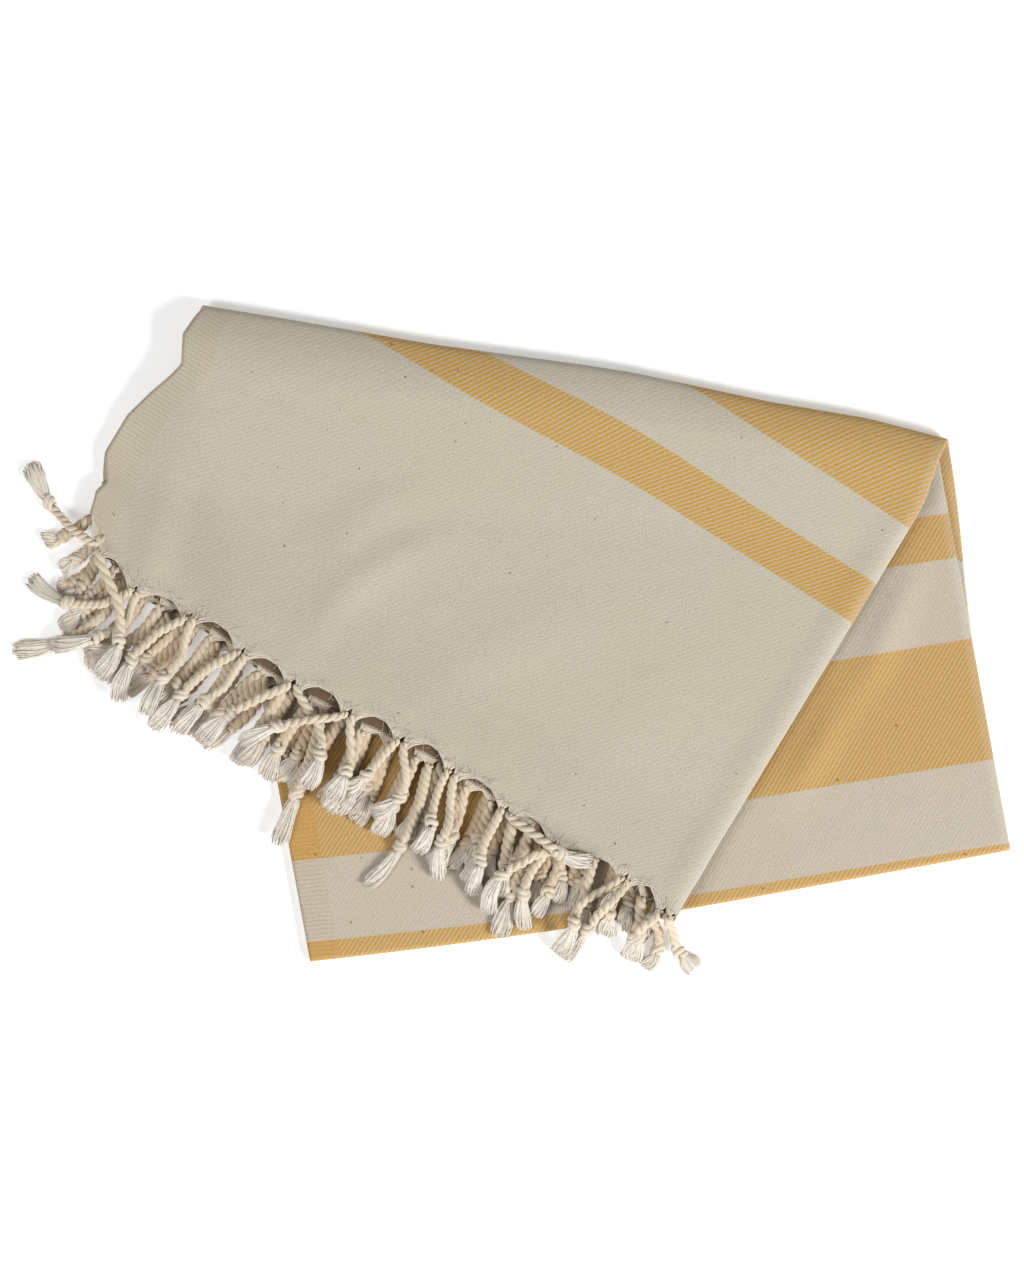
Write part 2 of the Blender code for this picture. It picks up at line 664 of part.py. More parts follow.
def fill_fringe(bm, end, rows):
    """A heading strip along one end of the cloth with its tassels drawn out of its outer face."""
    lines = strip_lines()
    rings = [[bm.verts.new(corner) for corner in corners] for corners in strip_corners(lines, end)]
    bm.faces.new(rings[0])
    bm.faces.new(rings[-1])
    for before, after in zip(rings, rings[1:]):
        for k in (0, 2, 3):
            near = (k + 1) % 4
            bm.faces.new((before[k], before[near], after[near], after[k]))
    roots = {}
    for side in (1, -1):
        for edges, tassel in zip(root_edges(side), rows[side, end]):
            roots[np.searchsorted(lines, edges.min() - PITCH / 100)] = tassel
    for n, (before, after) in enumerate(zip(rings, rings[1:])):
        corners = [before[1], before[2], after[2], after[1]]
        if n in roots:
            add_tassel(bm, corners, roots[n])
        else:
            bm.faces.new(corners)
    bmesh.ops.recalc_face_normals(bm, faces=bm.faces)


def fabric(name, colour):
    """A matt textile material."""
    material = bpy.data.materials.new(name)
    material.use_nodes = True
    shader = material.node_tree.nodes["Principled BSDF"]
    shader.inputs["Base Color"].default_value = colour
    shader.inputs["Roughness"].default_value = 0.9
    shader.inputs["Metallic"].default_value = 0
    return material


def main():
    for old in list(bpy.data.objects):
        bpy.data.objects.remove(old)
    towel = bpy.data.collections.new("hammam_towel")
    bpy.context.scene.collection.children.link(towel)
    middle = bpy.data.objects.new("towel_middle", None)
    towel.objects.link(middle)
    middle.location = (-BOX_MIDDLE[0], -BOX_MIDDLE[1], 0)

    cloth = new_object("cloth", fill_cloth, fabric("cotton", COTTON), towel)
    shell = cloth.modifiers.new("thickness", "SOLIDIFY")
    shell.thickness = CLOTH_THICK
    shell.offset = 0

    rows = lay_fringe()
    cord = fabric("cord", CORD)
    upper = new_object("fringe_upper", lambda bm: fill_fringe(bm, -1, rows), cord, towel)
    lower = new_object("fringe_lower", lambda bm: fill_fringe(bm, 1, rows), cord.copy(), towel)
    for piece in (cloth, upper, lower):
        piece.parent = middle


if __name__ == "__main__":
    main()
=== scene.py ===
"""The looks of a folded hammam towel: woven cloth, two-ply tassels with brushed ends, floor and light."""

import math
from collections import namedtuple

import bpy
import numpy as np
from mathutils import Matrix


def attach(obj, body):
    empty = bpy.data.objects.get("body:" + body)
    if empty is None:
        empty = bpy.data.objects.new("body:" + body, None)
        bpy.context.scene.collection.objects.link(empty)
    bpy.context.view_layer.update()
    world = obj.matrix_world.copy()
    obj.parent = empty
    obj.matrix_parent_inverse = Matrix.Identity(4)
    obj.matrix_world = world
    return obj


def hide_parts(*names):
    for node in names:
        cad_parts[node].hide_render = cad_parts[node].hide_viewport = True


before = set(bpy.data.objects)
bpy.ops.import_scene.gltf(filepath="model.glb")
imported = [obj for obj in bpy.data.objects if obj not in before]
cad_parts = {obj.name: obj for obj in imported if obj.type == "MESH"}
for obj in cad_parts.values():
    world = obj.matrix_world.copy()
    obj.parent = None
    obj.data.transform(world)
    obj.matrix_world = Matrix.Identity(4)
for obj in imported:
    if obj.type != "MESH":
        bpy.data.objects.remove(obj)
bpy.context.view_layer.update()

MM = 0.001


def table(fields, rows):
    """A list of rows with named columns."""
    kind = namedtuple("Row", fields)
    return [kind(*row) for row in rows]


# The flat cloth: u runs across it from the lengthwise fold, v along it from its middle.
CLOTH_WIDTH = 1000 * MM
CLOTH_LENGTH = 1360 * MM
HALF_WIDTH = CLOTH_WIDTH / 2
HALF_LENGTH = CLOTH_LENGTH / 2
CLOTH_THICK = 1.0 * MM
LAYER_STEP = 1.7 * MM

# The middle of the towel's box in the layout of the sizes below, seen from above.
BOX_MIDDLE = np.array([0.1, 1.1]) * MM

# The pack of four layers, seen from above. Its lower right corner is where both folds meet.
PACK_CORNER = np.array([350.5, -144.5]) * MM
PACK_TURN = math.radians(10.4)
FOLD_SLIP = 9 * MM
LIFT_FROM = 180 * MM
LIFT_LEFT = 12 * MM
LIFT_FADE = 330 * MM

# The top edge, where the pack turns over at its crest. Then the cloth rises gently to a crown, which is
# wider at the left, and falls back to level.
CREST_LEFT = np.array([-216.0, 239.0]) * MM
CREST_RIGHT = np.array([312.0, 142.3]) * MM
TURN_RADIUS = 4.2 * MM
CROWN_RISE = math.radians(24)
CROWN_LEFT = 80 * MM
CROWN_RIGHT = 45 * MM
CROWN_FALL = math.radians(4)
LEVEL_EASE = 200 * MM
FLAP_AIR = 1.5 * MM
LENGTH_PASSES = 30

# The under half shows past the upper half at the right, and more so on the front flap.
HALF_SHIFT = 9 * MM
HALF_SHIFT_RUN = 150 * MM
FLAP_SHIFT = 9 * MM
FLAP_SHIFT_START = 8 * MM
FLAP_SHIFT_RUN = 55 * MM
SHIFT_RUN = 330 * MM

# The front flap's left side lies off the pack, on the surface below.
DROP_START = 3 * MM
DROP_RUN = 55 * MM
FLOOR_AIR = 0.4 * MM

# Near the fringe the layers of the flap stand further apart, over the bulk of the tassels.
EDGE_SPREAD = 1.0
EDGE_SPREAD_RUN = 75 * MM

# The uneven left side of the flap: how far it lies inward of a straight line.
SIDE_WAVE = table("from_crest inward", (
    (0, 6), (7, 3), (31, -3), (48, 3), (75, -7), (96, -13),
    (125, -13), (150, -1), (165, -4), (181, 0), (202, 2), (230, 3),
))
SIDE_FADE = 60 * MM

# The uneven fringed edge: how far it is drawn up, and how much further the three lower layers are.
EDGE_WAVE = table("from_fold drawn_up further", (
    (0, 0, 16), (42, 8, 15), (83, 0, 12), (146, 3, 8), (208, 7, 3), (271, 2, 1),
    (333, -3, 3), (396, 0, 6), (427, -6, 9), (458, -5, 12), (479, 5, 14), (500, 21, 16),
))
FURTHER_START = 60 * MM
EDGE_FADE = 70 * MM

# Soft ridges of the flap, as arcs seen from above.
Crease = namedtuple("Crease", "start bend end height width")
CREASES = [Crease(*row) for row in (
    ((-149, 5), (-122, 60), (-50, 79), 2.6, 13), ((-122, 47), (-150, 92), (-60, 110), 2.0, 16),
    ((-262, 25), (-262, 80), (-235, 150), 3.0, 14), ((-80, -40), (-30, 0), (60, 30), 1.2, 22),
    ((20, -120), (60, -60), (160, 10), 0.8, 26),
)]
CREASE_START = 40 * MM
CREASE_EASE = 40 * MM
CREASE_STEPS = 25
CREASE_TIPS = 0.08

# Lines of the cloth's grid: across it, and along it in the pack, the turn, the crown and the flap.
FINE_COLUMN = 6.2 * MM
SIDE_COLUMN = 3 * MM
SIDE_COLUMNS_RUN = 20 * MM
FOLD_ARC_STEPS = 4
PACK_ROWS = 42
TURN_ROWS = 12
CROWN_ROWS = 14
FLAP_ROWS = 54
HEM_ROW_COUNT = 14
HEM_ROWS = 30 * MM
HALF_SPAN = HALF_WIDTH - MM
LINE_SAMPLES = 700

# The lengthwise fold stands up a little, and the fringed edge is drawn in between the tassels' feet,
# which leave it in pairs.
PUFF = 1.5 * MM
PUFF_AT = 9 * MM
PUFF_WIDTH = 8 * MM
SCALLOP = 2.0 * MM
SCALLOP_RUN = 14 * MM
SCALLOP_LIFT = 0.7 * MM
PAIR_GAP = 2.8 * MM
PAIR_RUN = 36 * MM
PAIR_PLACES = np.array([0.43, 2.1, 4.76, 6.74, 8.95, 10.95, 12.95, 15.1, 17.1, 19.25, 21.3, 23.2])

# The hidden layers' tassels stand beside their even places by shares of the pitch, and turn a little.
FEET_SHIFTS = (-0.25, -0.25, 0.45)
TURN_SPREAD = 0.07

# How far the crest bows outwards at a share of its length from the left, and two ridges of the pack.
CREST_BOW = ((0, -1.5), (0.3, 0), (0.5, 5), (0.57, 6), (0.65, 4.6), (0.75, 3), (0.88, 4), (1, -0.7))
CREST_BOW_RUN = 60 * MM
PACK_CREASES = [Crease(*row) for row in (
    ((290, 66), (265, 4), (242, -40), 5.2, 10), ((234, -34), (222, -76), (190, -112), 4.6, 9),
)]

# The stripes of the uppermost layer bow towards the side of the towel.
BOW = 9 * MM
BOW_START = 150 * MM
BOW_RUN = 170 * MM
BOW_FROM = 250 * MM
BOW_FADE = 100 * MM

# Fringe. Each end has a narrow heading strip and its row of tied tassels.
EDGE_GAP = 0.3 * MM
STRIP_WIDTH = 3 * MM
TASSELS_PER_LAYER = 24
PITCH = HALF_WIDTH / TASSELS_PER_LAYER
ROOT_WIDTH = 5 * MM
TASSEL_AIR = 0.3 * MM
SIDE_AIR = 0.5 * MM
SIDE_BERTH = 1.5 * MM
STEEPEST_FALL = 0.7
ROOT_CLEAR = 0.6
SETTLE_PASSES = 6
NO_CEILING = 1.0
SAMPLES_ALONG = 24
SAMPLES_ACROSS = 15
SEED = 11

# Sections of one tassel from its root: half width and height of the twisted cord, knot and brush.
TASSEL = table("reach half_width height", (
    (0, 2.5, 1.2), (4, 2.7, 2.6), (26, 3.1, 4.4), (47, 3.1, 4.4),
    (53, 4.7, 6.2), (60, 3.0, 3.8), (73, 6.4, 3.4), (86, 7.2, 1.8),
))

# The uppermost tassels from the fold on: headings in degrees at the root and the tip, and size.
Lean = namedtuple("Lean", "root tip size")
TOP_TASSELS = [Lean(*row) for row in (
    (292, 320, 0.52), (252, 268, 0.55), (240, 222, 0.85), (252, 245, 0.8), (180, 255, 0.95),
    (250, 268, 0.8), (322, 345, 0.75), (262, 250, 0.8), (240, 262, 0.85), (258, 245, 0.75),
    (262, 192, 0.7), (236, 216, 0.62), (250, 235, 0.7), (188, 212, 0.9), (284, 245, 0.8),
    (200, 232, 0.9), (200, 238, 0.95), (212, 228, 1), (207, 262, 0.92), (202, 262, 1),
    (206, 190, 1), (198, 140, 1), (290, 225, 0.95), (144, 108, 0.95),
)]

# Means of the same for the tassels below them, from the fold to the side.
LOWER_TASSELS = table("share root tip size", (
    (0, 262, 262, 0.5), (0.15, 256, 256, 0.6), (0.35, 250, 246, 0.72), (0.6, 240, 234, 0.72),
    (0.75, 234, 217, 0.8), (0.85, 232, 207, 0.75), (0.92, 234, 204, 0.55), (1, 226, 200, 0.4),
))
LOWER_SPREAD = 14

# The fringed layers on the flap, from the lowest up, by their side of the lengthwise fold and their end.
# Tassels are pressed to a share of their height by those above.
END_LAYERS = table("side end pressed", ((1, 1, 0.4), (-1, 1, 0.4), (-1, -1, 0.5), (1, -1, 1)))
TOP_LAYER = 3

# Tassels of the third layer that reach out from under others, counted from the fold.
STRAY_LAYER = 2
STRAY_LEANS = {
    0: Lean(300, 228, 0.52),
    5: Lean(254, 254, 0.97),
    9: Lean(257, 228, 1.18),
    13: Lean(252, 255, 1.2),
    21: Lean(236, 180, 1.2),
}

# One tassel in detail: two plies twisted left, a knot, and a brush of loose yarns.
Laid = namedtuple("Laid", "reach centres low high layer")
CORD_RADIUS = 3.8 * MM
PLY_RADIUS = 2.3 * MM
LAY_LENGTH = 11 * MM
CORD_START = 1 * MM
CORD_FULL = 7 * MM
CORD_STEP = 1.2 * MM
CORD_STOPS = 0.3
CORD_SHARES = (0.88, 1.04)
LAY_SHARES = (0.85, 1.2)
ROOT_SHARE = 0.6
PLY_SIDES = 9
PRESSED_WIDER = 0.5
THINNEST = 2.0 * MM
TOP_THICKNESS = 3.0 * MM
KNOT_LENGTH = 13 * MM
KNOT_RADIUS = 3.0 * MM
KNOT_PLY = 2.5 * MM
KNOT_TURNS = 1.1
KNOT_RINGS = 22
KNOT_TILT = 1.8 * MM
KNOT_SPAN = (0.12, 0.88)
KNOT_PALE = 0.35
BRUSH_YARNS = 38
BRUSH_RINGS = 9
YARN_RADIUS = 0.6 * MM
YARN_TAPER = YARN_RADIUS * np.array([*[1.1] * (BRUSH_RINGS - 2), 0.95, 0.55])
YARN_LOWEST = 0.8 * YARN_RADIUS
YARN_SIDES = 5
YARN_STRAYS = 0.3
CURLS = (0.1, 1.1)
CURL_TURNS = (0.5, 1.1)
NECK_RADIUS = 2.3 * MM
YARN_RISE = 1.5 * NECK_RADIUS
BRUSH_HALF = 8.4 * MM
BRUSH_UNEVEN = 0.3
BRUSH_DRIFT = 3 * MM
BRUSH_OPENS = 1.3
BRUSH_STARTS = 0.28
BRUSH_THINS = 0.3
YARN_SHARES = (0.88, 1.03)
GOLDEN_ANGLE = 2.399963
BODY_SIDES = 12
BODY_SHARE = 0.95
BODY_HALF = 1.45 * NECK_RADIUS
BODY_REACH = 0.9
BODY_FIBRES = 4
BODY_SHADE = 0.2
Brush = namedtuple("Brush", "t start length spread drift")
HUG_STARTS = np.array([-3.2, -1.6, 0, 1.5, 3, 4.5, 6.5, 9, 12, 16]) * MM
HUG_RINGS = 8
HUG_RADIUS = 0.62 * MM
HUG_INSIDE = 1.5 * MM
HUG_OUTSIDE = 0.7 * MM
HUG_SHARE = 0.55
HUG_REACH = np.array([CORD_START + 2 * MM, CORD_FULL + 2 * MM])
HUG_SWELL = 0.5
HUG_PALE = 0.4
SWAY = 2.2 * MM
STITCH_RADIUS = 0.16 * MM
STITCH_POINTS = 6
STITCH_SIDES = 4
STITCH_BESIDE = (-3, 5)
STITCH_ABOVE = (2.5, 6)
STITCH_AIR = 0.1 * MM
FUZZ_HAIRS = 170
FUZZ_STEPS = 7
FUZZ_RADIUS = 0.16 * MM
FUZZ_SIDES = 3
FUZZ_CURL = 2.5
FUZZ_RISE = 0.12
FUZZ_STRIDES = (0.4, 1.4)
ROUTE_SAMPLES = 160
ROUTE_EASE = 3.5 * MM
SWAY_TURNS = (0.6, 1.1)
KNOT_SECTION = 4

# Colours, as linear values.
CREAM = (0.535, 0.485, 0.388)
MUSTARD = (0.530, 0.292, 0.038)
SPECK = (0.16, 0.11, 0.07)
# The paler colour of a painted highlight along the lengthwise fold.
FOLD_HIGHLIGHT = (0.64, 0.60, 0.50)
CORD_TONE = (0.67, 0.58, 0.45)
BRUSH_TONE = (0.75, 0.70, 0.615)
# The brown of painted shade in the yarn's pile and between the selvedge ribs, and of random patches in the
# yarn.
SHADE_AND_PATCH_TONE = (0.43, 0.25, 0.11)
STITCH_TONE = (0.42, 0.31, 0.18)
GROOVE_TONE = (0.30, 0.25, 0.18)
# The brown of painted shade at the hidden fringed ends.
HEM_SHADE_TONE = (0.13, 0.08, 0.04)
PATCH_TINT = (1.0, 0.985, 0.97)
PACK_TINT = (1.0, 0.965, 0.975)
FLOOR_TONE = (0.93, 0.93, 0.93)
FLOOR_GLOW = 0.3

# Shares of a tone between which it varies from thread to thread.
CREAM_THREADS = (0.84, 1.14)
MUSTARD_THREADS = (0.78, 1.22)
STITCH_SHARES = (1, 1.5)
FLOOR_SHARES = (1, 0.985)

# Noises, in cells a metre, and depths of relief.
THREAD_GRAIN = 780.0
PATCH_GRAIN = 8.0
CLEAR_GRAIN = 90.0
HAND_GRAIN = 30.0
WOBBLE_GRAIN = 60.0
YARN_PATCHES = 130.0
FIBRE_GRAIN = 2200.0
STITCH_GRAIN = 3000.0
FLOOR_GRAIN = 400.0
THREAD_RELIEF = 0.4 * MM
HAND_RELIEF = 2.2 * MM
FIBRE_RELIEF = 0.22 * MM

# Painted shade between threads, a painted highlight along the lengthwise fold, and painted shade at the
# hidden ends.
GROOVE_SHADE = 0.09
RIB_SHADE = 0.3
FOLD_HIGHLIGHT_END = 9 * MM
FOLD_HIGHLIGHT_FULL = 1.5 * MM
FOLD_HIGHLIGHT_SHARE = 0.45
HEM_SHADE_START = HALF_LENGTH - 35 * MM
HEM_SHADE_FULL = HALF_LENGTH - 22 * MM
HEM_SHADE_SHARE = 0.95

# Seed flecks, in a share of the cells of a scale.
Fleck = namedtuple("Fleck", "scale share size strength")
FLECKS = (Fleck(62.0, 0.1, 0.042, 0.85), Fleck(170.0, 0.06, 0.06, 0.4))

# Weft stripes from the end that lies uppermost to the other end.
STRIPES = table("start end", (
    (-439.8, -407.7), (-362.6, -197), (-15.5, 15.5), (75.5, 162), (220.3, 252),
))
STRIPE_EDGE = 0.5
SELVEDGE = 22 * MM
WALE_PITCH = 2.7 * MM
WALE_SLOPE = math.radians(50)
RIB_PITCH = 3.1 * MM
WARP_PITCH = RIB_PITCH / 1.7
WOBBLE = 0.35
PLAIN_LEVEL = 0.46
PLAIN_RELIEF = 0.14
FIBRES_ROUND = 5.0
FIBRE_TURNS = 0.16

# The part of the floor that the camera sees, and where its middle lies.
VIEW_LONG = 903.7 * MM
VIEW_MIDDLE = np.array([0.7, 1.06]) * MM
CAMERA_HEIGHT = 4.0
SENSOR = 36.0

# The floor and the soft light on it.
FLOOR_SPAN = 12
DAYLIGHT = 0.30
Lamp = namedtuple("Lamp", "name place size power")
LAMPS = (Lamp("key", (3.4, -2.2, 2.6), 1.6, 225), Lamp("fill", (-3.4, -1.9, 3.2), 3.0, 125))

HALF_STEP = LAYER_STEP / 2
PACK_MID = CLOTH_THICK / 2 + 1.5 * LAYER_STEP
ACROSS = np.array([-math.cos(PACK_TURN), -math.sin(PACK_TURN)])
UP = np.array([-math.sin(PACK_TURN), math.cos(PACK_TURN)])
CREST_SPAN = np.linalg.norm(CREST_RIGHT - CREST_LEFT)
ALONG = (CREST_RIGHT - CREST_LEFT) / CREST_SPAN
OUT = np.array([-ALONG[1], ALONG[0]])
FLAP_ACROSS = 2 * (ACROSS @ ALONG) * ALONG - ACROSS
FLAP_DOWN = 2 * (UP @ ALONG) * ALONG - UP


def ease(x):
    x = np.clip(x, 0, 1)
    return x * x * (3 - 2 * x)


def unit(ways):
    """Directions of length 1."""
    return ways / (np.linalg.norm(ways, axis=-1, keepdims=True) + 1e-12)


def left_of(ways):
    """Directions to the left of others, seen from above."""
    return np.stack([-ways[..., 1], ways[..., 0]], axis=-1)


def column(rows, name):
    """One named column of a table as an array."""
    return np.array([getattr(row, name) for row in rows], float)


def look_up(rows, at, name, x):
    """The named column of a table in mm, read at x."""
    return np.interp(x, column(rows, at) * MM, column(rows, name) * MM)


def fold_lengthwise(u):
    """Distance across the doubled towel from its fold, and the layer's radius round the middle fold."""
    arc = HALF_STEP * math.pi / 2
    turn = np.clip(u / HALF_STEP, -math.pi / 2, math.pi / 2)
    a = np.where(np.abs(u) < arc, -HALF_STEP * np.cos(turn), np.abs(u) - arc)
    return a, LAYER_STEP + HALF_STEP * np.sin(turn)


def slip_at(a):
    """How far the bottom fold lies from the towel's middle."""
    return FOLD_SLIP * (1 - np.clip(a / HALF_WIDTH, 0, 1))


def fold_crosswise(v, a, reach):
    """Distance up the pack from its bottom fold, and the offset from the pack's middle plane."""
    w = v - slip_at(a)
    turn = np.clip(w / reach, -math.pi / 2, math.pi / 2)
    arc = reach * math.pi / 2
    b = np.where(np.abs(w) < arc, -reach * np.cos(turn), np.abs(w) - arc)
    return b, reach * np.sin(turn)


def pack_plan(a, b):
    """The flat pack seen from above. Its lower left side is drawn up a little."""
    rise = np.clip((a - LIFT_FROM) / (HALF_WIDTH - LIFT_FROM), 0, None)
    lift = LIFT_LEFT * rise**2 * np.clip(1 - b / LIFT_FADE, 0, 1)
    return PACK_CORNER + a[..., None] * ACROSS + (b + lift)[..., None] * UP


def roll_start(plan):
    """Distance beyond the line where the turn begins, and the radius of the crown there."""
    from_left = plan - CREST_LEFT
    outer = TURN_RADIUS + 1.5 * LAYER_STEP + CLOTH_THICK / 2
    share = np.clip(from_left @ ALONG / CREST_SPAN, 0, 1)
    return from_left @ OUT + outer, CROWN_LEFT + (CROWN_RIGHT - CROWN_LEFT) * share


def roll_lengths(crown):
    """Lengths of the sharp turn, the crown, the straight slope and the easing back to level."""
    rest = 4 * LAYER_STEP + FLAP_AIR
    top = TURN_RADIUS * (1 + math.cos(CROWN_RISE)) + crown * (math.cos(CROWN_FALL) - math.cos(CROWN_RISE))
    fall = top - rest - LEVEL_EASE * (1 - math.cos(CROWN_FALL))
    turn = (math.pi - CROWN_RISE) * TURN_RADIUS
    return turn, crown * (CROWN_RISE + CROWN_FALL), fall / math.sin(CROWN_FALL), LEVEL_EASE * CROWN_FALL


def roll_angles(s, crown):
    """Angles turned through at length s in the sharp turn, the crown and the easing back."""
    turn, top, slope, _ = roll_lengths(crown)
    sharp = np.clip(s / TURN_RADIUS, 0, math.pi - CROWN_RISE)
    gentle = np.clip((s - turn) / crown, 0, CROWN_RISE + CROWN_FALL)
    return sharp, gentle, np.clip((s - turn - top - slope) / LEVEL_EASE, 0, CROWN_FALL)


def roll_length_at(p, offset, crown):
    """Length along the middle plane of a point that lay p beyond the line when flat."""
    s = p
    for _ in range(LENGTH_PASSES):
        sharp, gentle, back = roll_angles(s, crown)
        s = p + offset * (sharp + gentle - back)
    return s


def roll_over(plan, offset):
    """Turns the pack over the top edge: place from above, height, angle turned through and length."""
    p, crown = roll_start(plan)
    s = roll_length_at(p, offset, crown)
    turn, top, slope, ease_back = roll_lengths(crown)
    sharp, gentle, back = roll_angles(s, crown)
    rising = math.pi - CROWN_RISE
    down = np.clip(s - turn - top, 0, slope)
    past = np.clip(s - turn - top - slope - ease_back, 0, None)
    n = np.where(s < 0, s, TURN_RADIUS * np.sin(sharp))
    n = n + crown * (np.sin(rising + gentle) - math.sin(rising)) - down * math.cos(CROWN_FALL)
    n = n - LEVEL_EASE * (math.sin(CROWN_FALL) - np.sin(CROWN_FALL - back)) - past
    z = TURN_RADIUS * (1 - np.cos(sharp)) + crown * (math.cos(rising) - np.cos(rising + gentle))
    z = z - down * math.sin(CROWN_FALL) - LEVEL_EASE * (np.cos(CROWN_FALL - back) - math.cos(CROWN_FALL))
    angle = sharp + gentle - back
    n = n - np.sin(angle) * offset
    z = z + np.cos(angle) * offset
    slide = offset * angle * (UP @ ALONG) / (UP @ OUT)
    plan = plan + (n - p)[..., None] * OUT + slide[..., None] * ALONG
    return plan, PACK_MID + z, angle, s


def crease_height(plan, creases=CREASES):
    """Height of the soft ridges at a place seen from above."""
    total = np.zeros(plan.shape[:-1])
    for crease in creases:
        start, bend, end = (np.array(p) * MM for p in (crease.start, crease.bend, crease.end))
        best = np.full(plan.shape[:-1], np.inf)
        fade = np.zeros(plan.shape[:-1])
        for share in np.linspace(0, 1, CREASE_STEPS):
            point = (1 - share) ** 2 * start + 2 * share * (1 - share) * bend + share**2 * end
            gap = np.linalg.norm(plan - point, axis=-1)
            along = CREASE_TIPS + (1 - 2 * CREASE_TIPS) * share
            fade = np.where(gap < best, math.sin(math.pi * along), fade)
            best = np.minimum(best, gap)
        total = total + crease.height * MM * fade * np.exp(-((best / (crease.width * MM)) ** 2))
    return total


def shift_share(a, offset):
    """How much of the shift to the right a layer takes."""
    return np.where(offset < 0, 1, ease(a / SHIFT_RUN))


def place_in_pack(u, v):
    """Where a point lies in the flat pack: from its fold, seen from above, and its offset."""
    a, reach = fold_lengthwise(u)
    b, offset = fold_crosswise(v, a, reach)
    flat = pack_plan(a, b)
    beyond, _ = roll_start(flat)
    shift = HALF_SHIFT * ease(1 + beyond / HALF_SHIFT_RUN) * shift_share(a, offset)
    return a, flat - shift[..., None] * ACROSS, offset


def drawn_up(u, a, offset):
    """How far a point at the fringed edge is drawn up the flap."""
    lower = np.where(offset > 0, 1, np.where(u > 0, 0, ease(a / FURTHER_START)))
    further = look_up(EDGE_WAVE, "from_fold", "further", a) * lower
    return look_up(EDGE_WAVE, "from_fold", "drawn_up", a) + further


def cloth_point(u, v):
    """Where a point of the flat cloth lies once the towel is folded."""
    u, v = np.broadcast_arrays(np.asarray(u, float), np.asarray(v, float))
    a, flat, offset = place_in_pack(u, v)
    plan, z, angle, s = roll_over(flat, offset)
    turned = np.clip(angle / math.pi, 0, 1)
    past_pack = (plan - PACK_CORNER) @ ACROSS - HALF_WIDTH
    to_edge = HALF_LENGTH - np.abs(v)
    front = turned == 1
    apart = EDGE_SPREAD * ease(1 - to_edge / EDGE_SPREAD_RUN) * front
    drop = (4 * LAYER_STEP + FLAP_AIR - FLOOR_AIR) * ease((past_pack - DROP_START) / DROP_RUN)
    raised = (1.5 * LAYER_STEP - offset) * apart
    creased = crease_height(plan) * ease((s - CREASE_START) / CREASE_EASE)
    z = z - drop * turned + raised + creased
    side = look_up(SIDE_WAVE, "from_crest", "inward", s) * turned
    side = side * ease(1 - (HALF_WIDTH - a) / SIDE_FADE)
    side = side + FLAP_SHIFT * ease((s - FLAP_SHIFT_START) / FLAP_SHIFT_RUN) * shift_share(a, offset)
    drawn = drawn_up(u, a, offset) * front * ease(1 - to_edge / EDGE_FADE)
    bulge = np.minimum(a, 0) * apart
    plan = plan + (bulge - side)[..., None] * FLAP_ACROSS - drawn[..., None] * FLAP_DOWN
    return np.concatenate([plan, z[..., None]], axis=-1)


def fine_columns():
    """Distances u of the cloth's fine grid, on both sides of the lengthwise fold."""
    arc = HALF_STEP * math.pi / 2
    inner = HALF_WIDTH - SIDE_COLUMNS_RUN
    flat = np.linspace(arc, inner, round(inner / FINE_COLUMN))
    edge = np.linspace(inner, HALF_WIDTH, round(SIDE_COLUMNS_RUN / SIDE_COLUMN) + 1)
    side = np.concatenate([arc * np.arange(1, FOLD_ARC_STEPS) / FOLD_ARC_STEPS, flat, edge[1:]])
    return np.concatenate([-side[::-1], [0], side])


def even(start, end, step_count):
    """Values from the start up to, but without, the end."""
    return np.linspace(start, end, step_count, endpoint=False)


def fine_rows(u):
    """Distances v of the cloth's fine grid along its line u."""
    a, reach = fold_lengthwise(u)
    slip = slip_at(a)
    fold = reach * math.pi / 2
    halves = []
    for side in (-1, 1):
        v = slip + side * np.linspace(fold, HALF_LENGTH - side * slip, LINE_SAMPLES)
        _, flat, offset = place_in_pack(np.full_like(v, u), v)
        p, crown = roll_start(flat)
        s = roll_length_at(p, offset, crown)
        turn, top, _, _ = roll_lengths(np.interp(0, s, crown))
        level_end, _ = roll_start(pack_plan(a, np.asarray(HALF_LENGTH)))
        hem = level_end - HEM_ROWS
        lines = np.concatenate([
            even(s[0], 0, PACK_ROWS),
            even(0, turn, TURN_ROWS),
            even(turn, turn + top, CROWN_ROWS),
            even(turn + top, hem, FLAP_ROWS),
            np.linspace(hem, s[-1], HEM_ROW_COUNT),
        ])
        halves.append(np.interp(lines, s, v))
    turns = slip + fold * np.linspace(-1, 1, 2 * FOLD_ARC_STEPS + 1)
    return np.concatenate([halves[0][:0:-1], [halves[0][0]], turns[1:-1], halves[1]])


def between_feet(u):
    """0 at the feet that tassels share by twos and 1 halfway between them."""
    phase = np.interp(np.abs(u), PAIR_PLACES * PITCH, np.arange(len(PAIR_PLACES)))
    return 0.5 - 0.5 * np.cos(math.tau * phase)


def feet(layer):
    """Distances u of the feet of a layer's tassels."""
    middles = root_edges(layer.side).mean(axis=1)
    number = END_LAYERS.index(layer)
    if number != TOP_LAYER:
        stays = number == STRAY_LAYER and np.isin(np.arange(len(middles)), list(STRAY_LEANS))
        return middles + np.where(stays, 0, FEET_SHIFTS[number] * PITCH)
    away = np.tile([-1, 1], len(PAIR_PLACES)) * PAIR_GAP
    return np.repeat(PAIR_PLACES, 2) * PITCH + away


def woven(u, v):
    """The distance along the towel as its stripes run, which bow a little."""
    share = ease((np.abs(u) - BOW_START) / BOW_RUN) * ease((-v - BOW_FROM) / BOW_FADE)
    return v + BOW * share


